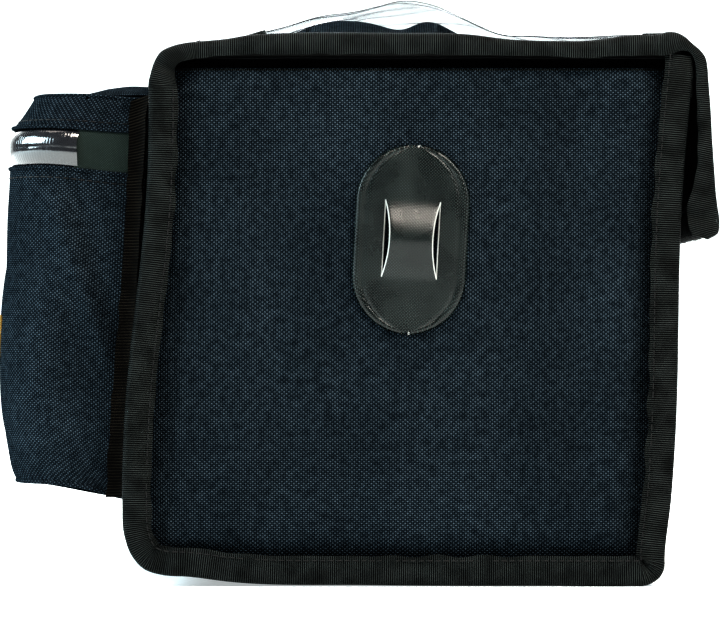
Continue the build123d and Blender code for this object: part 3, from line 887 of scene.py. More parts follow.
def lid_tapes(side):
    """The tape along the lid's side, and the two that go round its ends over the folds."""
    word = WORD[side]
    top = outline([(x * MM, LID_TOP + z * MM) for x, z in LID_TAPE_TOP], 120)
    foot_z = through([(x * MM, LID_TOP + z * MM) for x, z in LID_TAPE_FOOT], top[:, 0])
    foot = np.column_stack([top[:, 0], foot_z])
    made = tape(f"lid_tape_{word}", side, top, foot, OVER, 60 + side, wave=0.35)
    settle(made, "lid", f"{word}_lid_binding")

    x0, z0 = HINGE_X, HINGE_Z
    outer, inner = (from_hinge(edge, x0, z0, 50) for edge in (FRONT_CORNER_OUT, FRONT_CORNER_IN))
    made = tape(f"front_corner_tape_{word}", side, outer, inner, FIN, 62 + side, last=OVER,
                wave=0.3, crease=(0.36,))
    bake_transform(made)

    fx, fz = FLAP_X, FLAP_Z
    outer, inner = (from_hinge(edge, fx, fz, 44) for edge in (REAR_CORNER_OUT, REAR_CORNER_IN))
    made = tape(f"rear_corner_tape_{word}", side, outer, inner, OVER, 64 + side, last=FIN, wave=0.2)
    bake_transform(made)


# ---- map sleeve ----
# Height of the film above the lid's edge against x (mm): at its open left end, and behind it.
NEAR_EDGE = (
    (-60, 2.6), (-52, 5.2), (-37, 9.0), (-19, 13.0), (-4, 16.3), (4, 17.2), (12, 16.4), (18, 14.8),
    (25, 11.6), (34, 7.4), (44, 3.9), (56, 3.3), (78, 3.0), (88, 3.4), (110, 4.2),
)
BEHIND = (
    (-60, 2.0), (-45, 5.0), (-20, 13.0), (8, 18.0), (28, 17.5), (48, 13.5), (70, 8.0), (90, 5.5),
    (110, 4.0),
)


def film_height(x, y):
    """Height of the clear sheet above the lid's edge: it bows up towards its open left end."""
    near = through([(a * MM, b * MM) for a, b in NEAR_EDGE], x)
    behind = through([(a * MM, b * MM) for a, b in BEHIND], x)
    v = (y + SIDE) / (2 * SIDE)
    blown = near + (behind - near) * ease(v / 0.22)
    blown = blown * (1 - ease((v - 0.2) / 0.8)) + 1.4 * MM
    crease = 0.8 * crumple(71, x, y, 34 * MM) + 0.5 * np.abs(crumple(72, x, y, 60 * MM))
    lifted = blown + crease * MM * ease((blown / MM - 2) / 10)
    return np.maximum(lifted, lid_crown(x, y) + 1.0 * MM)


def map_sleeve():
    """The clear sheet over the lid, and the tapes that hold its front and rear edges."""
    x, y = grid_of(SLEEVE_FRONT, SLEEVE_REAR, 120, -SIDE - 1.5 * MM, SIDE - 2 * MM, 110)
    grid = stacked(x, y, LID_TOP + film_height(x, y))
    made = cloth("clear_window", grid, FILM_THICK * MM, clear_film)
    settle(made, "lid", "map_window")
    for name, node, x_low, x_high in (
        ("map_tape_front", "map_front_tape", SLEEVE_FRONT - 1 * MM, SLEEVE_FRONT + 9 * MM),
        ("map_tape_rear", "map_rear_tape", SLEEVE_REAR - 9 * MM, SLEEVE_REAR + 1 * MM),
    ):
        y, x = grid_of(-SIDE + 3 * MM, SIDE - 3 * MM, 110, x_low, x_high, 7)
        z = LID_TOP + film_height(x, y) + (0.9 + 0.25 * ripple(73, y, 30 * MM)) * MM
        strip = stacked(x, y, z)[:, ::-1]
        settle(cloth(name, strip, MAP_TAPE_THICK * MM, binding_tape), "lid", node)
        lines = [strip[:, k] + np.array([0, 0, 0.15 * MM]) for k in (1, 5)]
        sew(f"{name}_stitches", "lid", lines, (0, 0, 1))


# ---- flap ----
FLAP_SLOPE = math.tan(math.radians(4.0))  # it leans back past upright
FLAP_LONG = FLAP_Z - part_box("flap_binding")[0].z


def flap_place(out, down):
    """A point of the flap as (x, z): down along it from its fold, and out from its middle."""
    x0, z0 = FLAP_X + out, FLAP_Z - down
    return x0 + (FLAP_Z - z0) * FLAP_SLOPE, z0


def flap():
    """The flap's outer cloth and its lining."""
    down, y = grid_of(8 * MM, FLAP_LONG - 4 * MM, 50, -LID_HALF, LID_HALF, 90)
    v = 0.5 + y / LID_HALF / 2
    swell = (1.2 * arch(down / FLAP_LONG) + 0.5 * crumple(81, y, down, 48 * MM)) * arch(v, 0.5) * MM
    x, z = flap_place(2.6 * MM + swell, down)
    settle(cloth("flap_cloth", stacked(x, y, z), FABRIC, bag_fabric), "flap", "flap_panel")
    x, z = flap_place(-1.5 * MM - 0.3 * swell, down)
    inside = stacked(x, y, z)[:, ::-1]
    settle(cloth("flap_inside", inside, LINING * 0.6, lining_fabric), "flap", "flap_lining")


# The flap's side tapes: how far their edges stand out, and how far down the flap (mm).
FLAP_TAPE_OUT = (
    (2.5, 8), (2.6, 22), (2.3, 36), (2.2, 50), (2.6, 60), (3.0, 66), (2.0, 71), (-2.0, 73.4),
)
FLAP_TAPE_IN = (
    (-2.4, 8), (-3.0, 22), (-3.6, 36), (-5.4, 48), (-8.2, 57), (-9.8, 62), (-9.8, 67), (-8.0, 72),
)


def flap_binding():
    """One tape down each side of the flap and along its foot, thick where it turns the corners."""
    for side in (LEFT, RIGHT):
        outer, inner = (
            outline([flap_place(out * MM, down * MM) for out, down in edge], 60)
            for edge in (FLAP_TAPE_OUT, FLAP_TAPE_IN)
        )
        made = tape(f"flap_tape_{WORD[side]}", side, outer, inner, FIN, 84 + side, wave=0.5, crease=(0.86,))
        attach(made, "flap")
    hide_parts("flap_binding")

    y = np.linspace(-SIDE - 3.5 * MM, SIDE + 3.5 * MM, 150)
    turn = np.linspace(0, 2 * np.pi, 22, endpoint=False)
    puff = 1 + 0.10 * ripple(86, y, 40 * MM) - 0.2 * (1 - ease((SIDE + 3 * MM - np.abs(y)) / (12 * MM)))
    out = -0.6 + 3.3 * np.cos(turn)[None] * puff[:, None]
    down = 66.5 + 5.6 * np.sin(turn)[None] * (0.9 + 0.1 * puff[:, None])
    down = down + 0.25 * ripple(87, y, 17 * MM)[:, None]
    x, z = flap_place(out * MM, down * MM)
    rings = stacked(x, np.repeat(y[:, None], len(turn), 1), z)
    made = tube("flap_hem", rings, binding_tape)
    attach(made, "flap")
    line = rings[:, 19] + np.array([0.25 * MM, 0, 0])
    sew("flap_stitches", "flap", [line], (1, 0, 0.2))


def closure():
    """Hook and loop strips, with their stitched borders."""
    for name, node, body in (
        ("loop_strip", "closure_loop_strip", "tub"), ("hook_strip", "closure_hook_strip", "flap"),
    ):
        low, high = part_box(node)
        y, z = grid_of(low.y, high.y, 60, low.z, high.z, 14)
        if body == "tub":
            x = back_x(z) + 1.3 * MM
            sign = 1
        else:
            x, _ = flap_place(-2.9 * MM, FLAP_Z - z)
            sign = -1
        grid = stacked(x, y, z)
        grid = grid if sign > 0 else grid[::-1]
        settle(cloth(name, grid, STRIP_THICK * MM, hook_and_loop), body, node)
        inset = grid[2:-2, 1:-1]
        border = np.concatenate([inset[:, 0], inset[-1, 1:], inset[::-1, -1][1:], inset[0, ::-1][1:]])
        line = border + np.array([sign * 0.15 * MM, 0, 0])
        sew(f"{name}_stitches", body, [line], (sign, 0, 0))


# ---- pocket ----
# Height (mm), then how far the front stands at its two ends and in its middle (mm), and the
# swell of its sides.
POCKET_SHAPE = (
    (33, -149.0, -152.0, -1.5), (42, -155.5, -159.0, 0.2), (55, -159.0, -164.5, 1.2),
    (75, -161.0, -168.5, 2.0), (100, -160.8, -169.5, 2.2), (125, -159.6, -166.5, 1.8),
    (148, -158.6, -161.5, 1.2), (162, -157.9, -159.2, 0.8), (170, -157.6, -158.2, 0.6),
    (184, -156.4, -157.6, 0.6), (190, -152.6, -154.0, 0.4), (201, -146.2, -148.0, -0.4),
)
POCKET_ROUND = 30 * MM  # radius of its two upright corners
SIDES_START = -124 * MM  # its sides are straight behind this x


def pocket_point(s, z):
    """A point of the pocket's outside: s runs from the wall on the left, round, to the wall on
    the right: 0 to 1 the left side, 1 to 2 the corner, 2 to 3 the front, and so on to 5."""
    ends, middle, swell = np.moveaxis(
        through([(a * MM, b * MM, c * MM, d * MM) for a, b, c, d in POCKET_SHAPE], z), -1, 0)
    half = POCKET_HALF + 0 * z
    left = s <= 2.5
    t = np.where(left, s, 5 - s)
    wall = front_x(z)
    corner_x = ends + POCKET_ROUND
    x = wall + (corner_x - wall) * np.clip(t, 0, 1)
    y = -half - swell * arch(np.clip(t, 0, 1) * 0.75 + 0.08, 0.8)
    turn = np.clip(t - 1, 0, 1) * np.pi / 2
    on_corner = (t > 1) & (t <= 2)
    swell_end = swell * arch(0.83, 0.8)
    x = np.where(on_corner, corner_x - POCKET_ROUND * np.sin(turn), x)
    y = np.where(on_corner, -half - swell_end * np.cos(turn) + POCKET_ROUND * (1 - np.cos(turn)), y)
    front = t > 2
    across = np.clip((t - 2) / 0.5, 0, 1)
    y = np.where(front, (-half + POCKET_ROUND) * (1 - across), y)
    x = np.where(front, ends + (middle - ends) * ease(across), x)
    return x, np.where(left, y, -y)


def pocket_lines():
    """Where the points lie along the pocket's outline: closer together on the corners."""
    return np.concatenate([
        np.linspace(0, 1, 16), np.linspace(1, 2, 15)[1:], np.linspace(2, 3, 44)[1:],
        np.linspace(3, 4, 15)[1:], np.linspace(4, 5, 16)[1:],
    ])


FALL_FROM, FALL_RUN = -104 * MM, 44 * MM  # where the pocket's level lines start to fall, and how far


def down_to_wall(x, at_front, at_wall):
    """A height (mm) that changes from the pocket's front to the wall."""
    return (at_wall + (at_front - at_wall) * ease((FALL_FROM - x) / FALL_RUN)) * MM


def lip_low(x):
    return down_to_wall(x, 169.6, 166.0)


def lip_high(x):
    return down_to_wall(x, 185.2, 183.0)


def hood_top(x):
    return down_to_wall(x, 198.6, 196.6)


def pocket_foot(x):
    return down_to_wall(x, 40.5, 34.6)


def pocket_band(name, s, low, high, rows, material, thickness, offset=None, wrinkle=0.0, slot=None):
    """A band of the pocket between two heights; offset(t, s) moves it outwards, in mm."""
    s_grid, t = np.meshgrid(s, np.linspace(0, 1, rows), indexing="ij")
    x, _ = pocket_point(s_grid, np.full_like(s_grid, 110 * MM))
    z = low(x) + (high(x) - low(x)) * t
    x, y = pocket_point(s_grid, z)
    grid = stacked(x, y, z)
    normal = normals_of(grid)
    normal *= np.sign((normal[..., :1] * -1 + normal[..., 1:2] * np.sign(y)[..., None]).mean())
    move = np.zeros_like(t) if offset is None else offset(t, s_grid)
    if wrinkle:
        move = move + wrinkle * pocket_creases(x, y, z)
    grid = grid + normal * move[..., None] * MM
    return cloth(name, grid[:, ::-1], thickness, material, slot), grid


# Creases that run down from the zip: x at its lip (mm), slope, width (mm) and depth (mm).
ZIP_CREASES = ((-143, 0.36, 5.5, 2.6), (-131, 0.25, 5.0, -1.6), (-120, -0.3, 6.0, 0.8))


def pocket_creases(x, y, z):
    """Soft folds of the pocket's cloth: slack on the corners, and a long one down from the zip."""
    total = 0.8 * crumple(91, y * 0.8 + x, z, 46 * MM)
    for start, slope, width, depth in ZIP_CREASES:
        line = start * MM + (172 * MM - z) * slope
        fall = ease((178 * MM - z) / (30 * MM)) * ease((z - 55 * MM) / (50 * MM))
        total = total + depth * np.exp(-(((x - line) / (width * MM)) ** 2)) * fall
    edge = ease((z - 36 * MM) / (16 * MM)) * ease((172 * MM - z) / (22 * MM))
    return total * edge


def pocket():
    """The pocket's cloths: the wrap below the zip, the hood above it, the top and the base."""
    s = pocket_lines()
    wrap, wrap_grid = pocket_band(
        "pocket_cloth", s, pocket_foot, lip_low, 60, bag_fabric, WRAP_THICK * MM, wrinkle=1.0)
    settle(wrap, "tub", "pocket_wrap")
    hood, hood_grid = pocket_band(
        "hood_cloth", s, lip_high, hood_top, 14, bag_fabric, HOOD_THICK * MM,
        offset=lambda t, s: 0.7 * (1 - t) ** 2 + 0.3 * np.sin(s * 9) * t)
    settle(hood, "tub", "pocket_hood_band")
    for name, node, edge, height, up in (
        ("pocket_top_cloth", "pocket_top_panel", hood_grid[:, -1], pocket_top_height, 1),
        ("pocket_base_cloth", "pocket_base", wrap_grid[:, 0], pocket_base_height, -1),
    ):
        settle(pocket_cover(name, edge, height, up), "tub", node)

    stitched = wrap_grid[:, -3], hood_grid[:, 3]
    lips(wrap_grid[:, -1], hood_grid[:, 0], hood_grid[:, -1], wrap_grid[:, 0], stitched)


def pocket_top_height(x, y, edge_z):
    """The slack top panel: it dips behind the hood's edge and stands up against the wall."""
    near_wall = ease((x + 138 * MM) / (34 * MM))
    side = arch(0.5 + y / POCKET_HALF / 2, 0.35)
    rise = 9.2 * near_wall * side - 2.4 * arch((x + 150 * MM) / (34 * MM)) * side
    rise += 0.9 * crumple(95, x, y, 26 * MM) * side * arch((x + 160 * MM) / (62 * MM), 0.6)
    return edge_z + rise * MM


def pocket_base_height(x, y, edge_z):
    side = arch(0.5 + y / POCKET_HALF / 2, 0.5)
    return edge_z - (1.6 * side * arch((x + 160 * MM) / (60 * MM))) * MM


def pocket_cover(name, edge, height, up):
    """The pocket's top or base: rows of points from its front edge back to the wall."""
    even = np.linspace(-1, 1, 80)
    half = edge[:, 1].max() - 0.6 * MM
    y = np.sign(even) * (1 - (1 - np.abs(even)) ** 1.6) * half  # closer together at the ends
    front = edge[edge[:, 0] < SIDES_START]
    front = front[np.argsort(front[:, 1])]
    front_at = np.interp(y, front[:, 1], front[:, 0])
    edge_z = np.interp(y, front[:, 1], front[:, 2])
    t = np.linspace(0, 1, 40)
    x = front_at[:, None] + (front_x(edge_z) - 0.2 * MM - front_at)[:, None] * t[None]
    y_grid = np.repeat(y[:, None], len(t), 1)
    side_z = hood_top(x) if up > 0 else pocket_foot(x)
    blend = ease((half - np.abs(y_grid)) / (14 * MM))
    level = side_z * (1 - blend) + (edge_z[:, None] * (1 - t) + side_z * t) * blend
    z = height(x, y_grid, level)
    grid = stacked(x, y_grid, z)
    return cloth(name, grid if up < 0 else grid[:, ::-1], COVER_THICK * MM, bag_fabric)


def round_cord(name, line, radius, material):
    """A rolled edge: a thin round tube along a line."""
    way = unit(np.gradient(line, axis=0))
    side = unit(np.cross(way, np.array([0, 0, 1.0])))
    up = np.cross(side, way)
    turn = np.linspace(0, 2 * np.pi, 10, endpoint=False)
    rings = (
        line[:, None]
        + side[:, None] * (np.cos(turn) * radius)[None, :, None]
        + up[:, None] * (np.sin(turn) * radius)[None, :, None]
    )
    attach(tube(name, rings, material), "tub")


def plan_normal(line):
    """The level way out from the pocket, along a line round it."""
    way = unit(np.gradient(line, axis=0))
    out = unit(np.cross(way, np.array([0, 0, 1.0])))
    return out * np.sign(-out[:, 0].mean())


def lips(low, high, top, foot, stitched):
    """The turned edges along the zip, and the seams round the hood's top and the pocket's foot."""
    up = np.array([0, 0, 1.0]) * MM
    for name, line, radius, shift in (
        ("zip_lip_low", low, 0.8, -0.4), ("zip_lip_high", high, 0.8, 0.3),
        ("hood_seam", top, 0.7, -0.1), ("pocket_foot_seam", foot, 1.0, 0.3),
    ):
        round_cord(name, line + up * shift, radius * MM, bag_fabric)
    lines = [line + plan_normal(line) * 0.1 * MM for line in stitched]
    sew("zip_lip_stitches", "tub", lines, (-1, 0, 0))


def zip_shape(t, s):
    """The coated zip swells between its lips, more round the corner than on the straight."""
    straight = ease((np.minimum(s, 5 - s) - 1.6) / 0.4)
    swell = 3.4 * (1 - straight) + 0.1 * straight
    groove = 0.16 * np.exp(-(((t - 0.5) / 0.06) ** 2))
    return swell * arch(t, 0.6) - 0.8 - groove


def on_pocket_line(x=None, y=None):
    """Where along the pocket's outline this x lies on its left side, or this y on its right."""
    s = np.linspace(0, 2.5, 2000) if y is None else np.linspace(2.5, 5, 2000)
    at_x, at_y = pocket_point(s, np.full_like(s, (ZIP_LOW + ZIP_HIGH) / 2))
    return s[np.argmin(np.abs(at_x - x) if y is None else np.abs(at_y - y))]


def zip_parts():
    """The coated zip tapes, and the plain pieces that cover the zip's two ends."""
    s = pocket_lines()
    start, end = on_pocket_line(x=ZIP_LEFT_END), on_pocket_line(y=ZIP_RIGHT_END)
    between = s[(s > start) & (s < end)]
    along_zip = np.concatenate([[start - 0.03], between, [end + 0.01]])
    fine = np.interp(np.linspace(0, 1, 2 * len(along_zip)), np.linspace(0, 1, len(along_zip)), along_zip)

    def middle(x):
        return (lip_low(x) + lip_high(x)) / 2

    for name, node, low, high, half in (
        ("zip_cloth_low", "zip_lower_tape", lip_low, middle, 0),
        ("zip_cloth_high", "zip_upper_tape", middle, lip_high, 1),
    ):
        made, _ = pocket_band(name, fine, low, high, 14, coated_zip, ZIP_THICK * MM,
                              offset=lambda t, s, half=half: zip_shape((t + half) / 2, s))
        settle(made, "tub", node)

    flat = {"left_zip_end_tab": np.concatenate([s[s < start], [start]]),
            "right_zip_garage": np.concatenate([[end], s[s > end]])}
    for name, part in flat.items():
        steps = np.linspace(0, len(part) - 1, 3 * len(part))
        part = np.interp(steps, np.arange(len(part)), part)
        made, _ = pocket_band(
            name.replace("zip", "cloth"), part, lip_low, lip_high, 12, tab_fabric, TAB_THICK * MM,
            offset=lambda t, s: 0.9 * arch(t, 0.5) + 0.1, slot="patch_fabric")
        settle(made, "tub", name)


def edge_tapes():
    """Ribbed webbing over the seams between the pocket's sides and the wall."""
    for side in (LEFT, RIGHT):
        word = WORD[side]
        z, t = grid_of(POCKET_LOW - 1 * MM, POCKET_TOP - 2 * MM, 90, 0, 1, 8)
        z = z + 2.5 * MM * t * ease((z - 150 * MM) / (45 * MM))
        width = 8.5 * MM * (0.9 + 0.1 * np.sin(z / (31 * MM)))
        x = front_x(z) - 0.3 * MM - width * (1 - t) + 0.3 * MM * ripple(97, z, 15 * MM)
        _, y = pocket_point(np.full_like(z, 0.12), z)
        y = y - (0.9 + 1.6 * t**3) * MM
        grid = mirrored(stacked(x, y, z), side)
        made = cloth(f"pocket_webbing_{word}", grid, WEBBING_THICK * MM, edge_webbing, "binding_tape")
        settle(made, "tub", f"{word}_pocket_edge_tape")


def label():
    """A blank woven label on the pocket's front."""
    y, z = grid_of(LABEL_LOW.y, LABEL_HIGH.y, 60, LABEL_LOW.z, LABEL_HIGH.z, 20)
    x, _ = pocket_front(y, z)
    grid = stacked(x - 1.3 * MM, y, z)
    made = cloth("blank_label", grid, LABEL_THICK * MM, label_weave, facing=(-1, 0, 0))
    settle(made, "tub", "front_label")


def pocket_front(y, z):
    s = 2.5 + 0.5 * y / (POCKET_HALF - POCKET_ROUND)
    x, y = pocket_point(s, z)
    return x - 0.4 * MM - 0.8 * MM * np.abs(crumple(91, y * 0.8 + x, z, 46 * MM)), y


# ---- lash patches ----
# All in mm.
SLIT = 11.1  # half the distance between the slits
SLIT_HALF = 16.0  # half the length of a slit
CUT_EDGE = 0.28  # width of the cut edge, painted pale as a highlight
RIM_ROUND = 0.7  # width over which the patch's rim is rounded
PATCH_OUT = 1.25  # how far the patch's face stands off the side
PATCH_THICK = 1.15
HOLLOW = 3.0  # how far the padding gives way behind the band
BAND_RISE = 5.0  # how far the band bows out
SEAM_INSET = 3.1  # from the patch's rim to its line of stitches
TACK_AT, TACK_HALF, TACK_STEP = 15.2, 13, 0.62  # the zigzags beside the slits
PATCH_STITCH, TACK_STITCH = (1.9, 0.24), (3.1, 0.22)  # length and half width
PATCH_HALF_W = (PATCH_HIGH.x - PATCH_LOW.x) / 2 / MM
PATCH_HALF_H = (PATCH_HIGH.z - PATCH_LOW.z) / 2 / MM
PATCH_STRAIGHT = PATCH_HALF_H - PATCH_HALF_W


def on_side(a, h, out, side):
    """A point on the side, a across and h up from the patch's middle (mm), in its leaning frame."""
    lean = math.atan2(LEAN, RIM)
    x = PATCH_X + (a * math.cos(lean) + h * math.sin(lean)) * MM
    z = PATCH_Z + (h * math.cos(lean) - a * math.sin(lean)) * MM
    y = -(SIDE + pillow(x, z) + out * MM)
    return mirrored(stacked(x, y, z), side)


def patch_half_width(h):
    past = np.maximum(np.abs(h) - PATCH_STRAIGHT, 0)
    return np.sqrt(np.maximum(PATCH_HALF_W**2 - past**2, 0.3))


def patch_strips():
    """The patch's left, middle and right strips: how far across, up and out their points lie (mm).

    Where the slits are, the middle strip is the band, which bows out and draws in. The first and
    last column of a strip stand back a little: they are its rounded rim or the cut edge of a slit.
    """
    h = -PATCH_HALF_H * np.cos(np.linspace(0.02, np.pi - 0.02, 73))
    columns = (14, 15, 14)
    wide = patch_half_width(h)
    open_here = np.abs(h) < SLIT_HALF
    t = 0.5 + h / SLIT_HALF / 2
    pull = np.where(open_here, 2.7 * arch(t, 0.9), 0.0)
    rise = np.where(open_here, BAND_RISE * arch(t, 1.7), 0.0)
    slit = np.minimum(SLIT, wide * 0.6)
    edges = [(-wide, -slit), (-slit + pull, slit - pull), (slit, wide)]
    strips = []
    for index, ((start, end), count) in enumerate(zip(edges, columns)):
        span = np.maximum(end - start, 0.8)[:, None]
        cut_low = (RIM_ROUND if index == 0 else CUT_EDGE) / span
        cut_high = (RIM_ROUND if index == 2 else CUT_EDGE) / span
        even = np.clip((np.arange(count) - 1) / (count - 3), 0, 1)[None]
        u = cut_low + even * (1 - cut_low - cut_high)
        u[:, 0], u[:, -1] = 0, 1
        a = start[:, None] + (end - start)[:, None] * u
        high = np.repeat(h[:, None], count, 1)
        out = np.full_like(a, PATCH_OUT)
        out[:, 0] -= 0.5 if index == 0 else 0.12
        out[:, -1] -= 0.5 if index == 2 else 0.12
        if index == 1:
            out = out + rise[:, None] * (1 - 0.03 * (2 * u - 1) ** 2)
        else:
            rim = u if index == 0 else 1 - u
            out = out - 0.45 * np.exp(-((rim * span - SEAM_INSET) / 0.7) ** 2)
        strips.append((a, high, out))
    return strips, open_here


def lash_patch(side):
    """A stadium of coated cloth with two slits; the band between them bows out as a strap loop."""
    strips, open_here = patch_strips()
    points, faces, uvs, cut_faces = [], [], [], []
    first = 0
    for index, (a, high, out) in enumerate(strips):
        rows, count = a.shape
        at_slit = np.zeros((rows, count), bool)
        at_slit[:, 0] = (index > 0) & open_here
        at_slit[:, -1] = (index < 2) & open_here
        border = (index == 0, index == 2)
        joined = ~at_slit & ~np.array([border[0]] + [True] * (count - 2) + [border[1]])
        joined[:, 1:-1] = False
        lowered = np.where(joined, PATCH_OUT, out)
        grid = on_side(a, high, lowered, side)
        points.extend(grid.reshape(-1, 3))
        for i in range(rows - 1):
            for j in range(count - 1):
                corners = [(i, j), (i + 1, j), (i + 1, j + 1), (i, j + 1)]
                faces.append(tuple(first + p * count + q for p, q in corners))
                uvs.append([(a[p, q] * MM, high[p, q] * MM) for p, q in corners])
                at_end = 0 if j == 0 else count - 1
                cut_faces.append(j in (0, count - 2) and at_slit[i, at_end] and at_slit[i + 1, at_end])
        first += rows * count
    if side == RIGHT:
        faces, uvs = [f[::-1] for f in faces], [u[::-1] for u in uvs]
    flat = [uv for group in uvs for uv in group]
    word = WORD[side]
    made = piece(f"lash_cloth_{word}", np.array(points), faces, flat, [patch_fabric, patch_edge_highlight])
    # The slits' cut faces get the second, pale material: a painted highlight.
    made.data.polygons.foreach_set("material_index", [int(cut) for cut in cut_faces])
    thicken(made, PATCH_THICK * MM)
    settle(made, "tub", f"{word}_lash_patch")


def patch_sewing(side):
    """The line of stitches round the patch, and the zigzags beside its slits."""
    word = WORD[side]
    turn = np.linspace(0, 2 * np.pi, 200)
    inset = PATCH_HALF_W - SEAM_INSET
    ring_a = inset * np.sin(turn)
    up = np.cos(turn)
    ring_h = inset * up + PATCH_STRAIGHT * np.sign(up) * np.minimum(1, np.abs(up) * 6)
    lines = [on_side(ring_a, ring_h, 1.15, side)]
    for a in (-TACK_AT, TACK_AT):
        zig = np.arange(-TACK_HALF, TACK_HALF + 0.01, TACK_STEP)
        swing = a + 1.9 * np.where(np.arange(len(zig)) % 2, 1, -1)
        lines.append(on_side(swing, zig, 1.3, side))
    normal = (0, side, 0)
    sew(f"patch_stitches_{word}", "tub", lines[:1], normal, "patch_fabric", *PATCH_STITCH)
    bars = [line for path in lines[1:] for line in pairs(path)]
    sew(f"bartacks_{word}", "tub", bars, normal, "patch_fabric", *TACK_STITCH)


def pairs(path):
    """Each step of a zigzag as a line of its own, a little longer than one stitch."""
    return [np.array([a - (b - a) * 0.3, b + (b - a) * 0.3]) for a, b in zip(path[:-1], path[1:])]


def thicken(made, thickness):
    """Gives an open sheet its thickness behind its face, and joins its rows of equal points."""
    mesh = made.data
    work = bmesh.new()
    work.from_mesh(mesh)
    bmesh.ops.remove_doubles(work, verts=work.verts, dist=0.02 * MM)
    work.to_mesh(mesh)
    work.free()
    solid = made.modifiers.new("thickness", "SOLIDIFY")
    solid.thickness = thickness
    solid.offset = -1
    solid.material_offset_rim = 1
    bpy.context.view_layer.update()
    ready = made.evaluated_get(bpy.context.evaluated_depsgraph_get())
    made.data = bpy.data.meshes.new_from_object(ready)
    made.modifiers.clear()


# ---- inside of the tub ----
def lining():
    """The lining bag: rings of a rounded rectangle, from the middle of the floor to the rim."""
    inner = 4.4 * MM
    reach = -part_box("left_side_foam")[1].y - 1.6 * MM
    turn = np.linspace(0, 2 * np.pi, 200, endpoint=False)
    cos, sin = np.cos(turn), np.sin(turn)
    scale = (np.abs(cos) ** 14 + np.abs(sin) ** 14) ** (-1 / 14)
    floor = 5.4 * MM
    levels = [(share, floor) for share in (0.02, 0.25, 0.5, 0.7, 0.85, 0.93, 0.97)]
    levels += [(0.99, floor + 1.2 * MM), (1.0, floor + 3.6 * MM)]
    levels += [(1.0, z * MM) for z in (14, 20, 30, 45, 70, 100, 130, 160, 185, 200, 207.0)]
    rings = []
    for share, z in levels:
        x_low = max(front_x(z), float(toe_x(z))) + inner
        x_high = back_x(z) - inner
        x_mid, x_half = (x_low + x_high) / 2, (x_high - x_low) / 2
        slack = np.abs(crumple(101, turn * 60 * MM, np.full_like(turn, z), 50 * MM)) * MM
        pull = 1 - 0.8 * slack * (share > 0.9) / x_half
        x = x_mid + x_half * share * cos * scale * pull
        y = reach * share * sin * scale * pull
        height = np.maximum(z, sole_z(x) + 4.0 * MM)
        rings.append(stacked(x, y, height))
    grid = np.array(rings)
    grid = np.concatenate([grid, grid[:, :1]], axis=1)
    settle(cloth("lining_bag", grid[:, ::-1], LINING_THICK * MM, lining_fabric), "tub", "main_lining")


def mouth_bindings():
    """Tapes folded over the rim: down inside the sides, and down both faces of the back."""
    half = -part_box("left_side_foam")[1].y
    y_half, cap, thick = 2.9 * MM, 1.2 * MM, 0.9 * MM
    turn = np.linspace(0, np.pi, 9)
    depth = TAPE_WIDTH * MM
    crest = RIM + 0.3 * MM

    def folded(leg):
        """The tape in section, with an outer leg of this length and a full one inside."""
        over = [(-y_half, crest - leg)]
        over += [(-y_half * math.cos(a), crest - (1 - math.sin(a)) * cap) for a in turn]
        over += [(y_half, crest - depth)]
        under = [
            (o * (1 - thick / y_half), z - (thick if -y_half < o < y_half else 0))
            for o, z in over[::-1]
        ]
        return np.array(over + under)

    section = folded(1.3 * MM)
    for side in (LEFT, RIGHT):
        word = WORD[side]
        x = np.linspace(front_x(RIM) + depth, back_x(RIM) - depth, 110)
        wave = ripple(110 + side, x, 18 * MM) * 0.25 * MM
        rings = np.empty((len(x), len(section), 3))
        rings[..., 0] = x[:, None]
        rings[..., 1] = y_half - (SIDE + pillow(x, RIM) + 0.4 * MM)[:, None] + section[None, :, 0]
        rings[..., 2] = section[None, :, 1] + wave[:, None] * (section[:, 1] < crest - 3 * MM)
        made = tube(f"mouth_tape_{word}", mirrored(rings, side), binding_tape)
        settle(made, "tub", f"{word}_mouth_binding")
    x_mid, x_half = back_x(RIM) - 1.4 * MM, 2.6 * MM
    y = np.linspace(-half + 2 * MM, half - 2 * MM, 120)
    section = folded(depth)
    rings = np.empty((len(y), len(section), 3))
    lean = (section[:, 1] - RIM) * LEAN / RIM
    rings[..., 0] = x_mid + section[None, :, 0] * (x_half / y_half) + lean[None]
    rings[..., 1] = y[:, None]
    wave = ripple(113, y, 18 * MM) * 0.25 * MM
    rings[..., 2] = section[None, :, 1] + wave[:, None] * (section[:, 1] < crest - 3 * MM)
    settle(tube("mouth_tape_back", rings, binding_tape), "tub", "back_mouth_binding")


# ---- CAD pieces that stay ----
def carried_over():
    """The CAD's own meshes that show, or that hide inside the cloth: they only get materials."""
    finishes = {
        "lid_board": board, "flap_board": board,
        "zip_lower_coil": zip_coil, "zip_upper_coil": zip_coil, "zip_slider": slider_metal,
        "zip_pull": slider_metal,
    }
    for node, material in finishes.items():
        mesh = frame["nodes"][node].data
        mesh.materials.clear()
        mesh.materials.append(material)


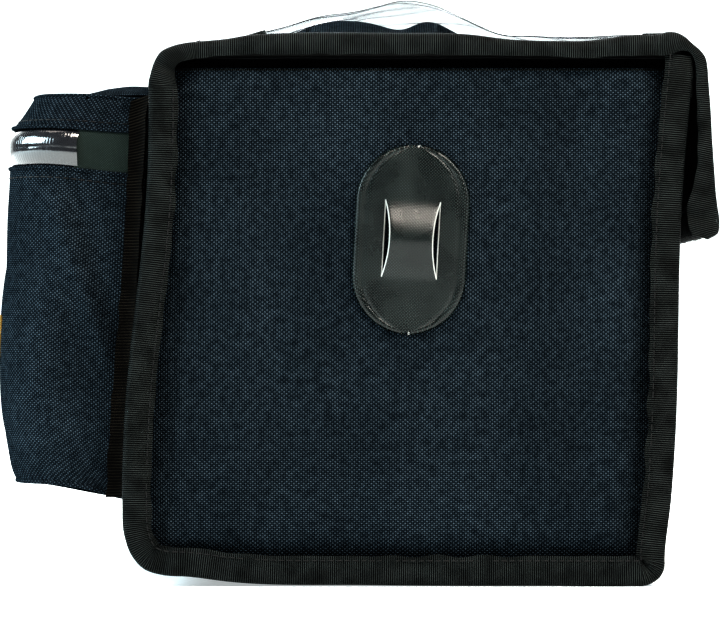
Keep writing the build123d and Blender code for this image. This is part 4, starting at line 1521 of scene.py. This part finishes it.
# ---- studio ----
LIGHTS = (
    # name, place, size, height, power, colour
    ("key", (0.72, -1.05, 1.25), 0.62, 0.34, 28, (1.0, 0.94, 0.86)),
    ("strip", (-0.05, -1.0, 1.3), 0.60, 0.22, 15, (1.0, 0.90, 0.80)),
    ("soft_left", (-1.6, -0.4, 0.8), 1.15, 0.80, 54, (0.74, 0.93, 1.0)),
    ("top", (0.05, 0.25, 1.8), 2.2, 1.8, 38, (1.0, 0.90, 0.82)),
    ("right", (1.35, -0.75, 0.75), 0.7, 0.9, 8, (0.86, 0.95, 1.0)),
    ("rear", (-0.4, 1.6, 1.1), 1.4, 1.0, 16, (0.95, 0.98, 1.0)),
)
AIM = (0, 0, 0.12)
BACKDROP = (
    (-3.0, 0.0), (-1.5, 0.0), (0, 0.0), (1.4, 0.0), (2.1, 0.02), (2.5, 0.14), (2.75, 0.45),
    (2.85, 1.0), (2.9, 2.0), (2.9, 3.2),
)


def studio():
    profile = outline(BACKDROP, 90)
    x = np.linspace(-4.0, 4.0, 60)
    across, run = np.meshgrid(x, profile[:, 0])
    height = np.repeat(np.maximum(profile[:, 1:], 0), len(x), 1)
    grid = stacked(across, run, height)[:, ::-1]
    shader = Shader("studio_white")
    shader.set(Base_Color=(0.84, 0.88, 0.885, 1), Roughness=0.75, Emission_Color=(0.94, 0.99, 1, 1),
               Emission_Strength=0.345)
    floor = cloth("studio_floor", grid, 0.01, shader.material, "floor")
    del floor["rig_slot"]

    world = bpy.data.worlds.new("studio")
    bpy.context.scene.world = world
    world.use_nodes = True
    world.node_tree.nodes["Background"].inputs[0].default_value = (0.90, 0.96, 1.0, 1)
    world.node_tree.nodes["Background"].inputs[1].default_value = 0.20

    for name, place, size, height, power, colour in LIGHTS:
        data = bpy.data.lights.new(name, "AREA")
        data.shape, data.size, data.size_y = "RECTANGLE", size, height
        data.energy, data.color = power, colour
        lamp = bpy.data.objects.new(name, data)
        bpy.context.scene.collection.objects.link(lamp)
        lamp.location = place
        way = Vector(AIM) - Vector(place)
        lamp.rotation_euler = way.to_track_quat("-Z", "Y").to_euler()


SENSOR = 36
CAMERA_AWAY = 1.5  # from the camera to the bag's left side
VIEW_WIDTH = 0.288  # what the picture takes in at that side
VIEW_CENTRE = (-0.0128, 0.106)


def camera():
    """A long lens that looks level and square at the bag's left side."""
    data = bpy.data.cameras.new("camera")
    data.sensor_width = SENSOR
    data.lens = SENSOR * CAMERA_AWAY / VIEW_WIDTH
    data.clip_end = 50
    made = bpy.data.objects.new("camera", data)
    bpy.context.scene.collection.objects.link(made)
    made.location = (VIEW_CENTRE[0], -(SIDE + 5 * MM) - CAMERA_AWAY, VIEW_CENTRE[1])
    made.rotation_euler = (math.pi / 2, 0, 0)
    bpy.context.scene.camera = made
    bpy.context.scene.view_settings.view_transform = "Standard"
    bpy.context.scene.view_settings.look = "High Contrast"


camera()
studio()
end_panels()
stiffeners()
folds()
lid_cloth()
map_sleeve()
for side in (LEFT, RIGHT):
    side_panel(side)
    side_foam(side)
    seam_binding(side)
    lid_tapes(side)
    lash_patch(side)
    patch_sewing(side)
flap()
flap_binding()
closure()
pocket()
zip_parts()
edge_tapes()
label()
lining()
mouth_bindings()
carried_over()
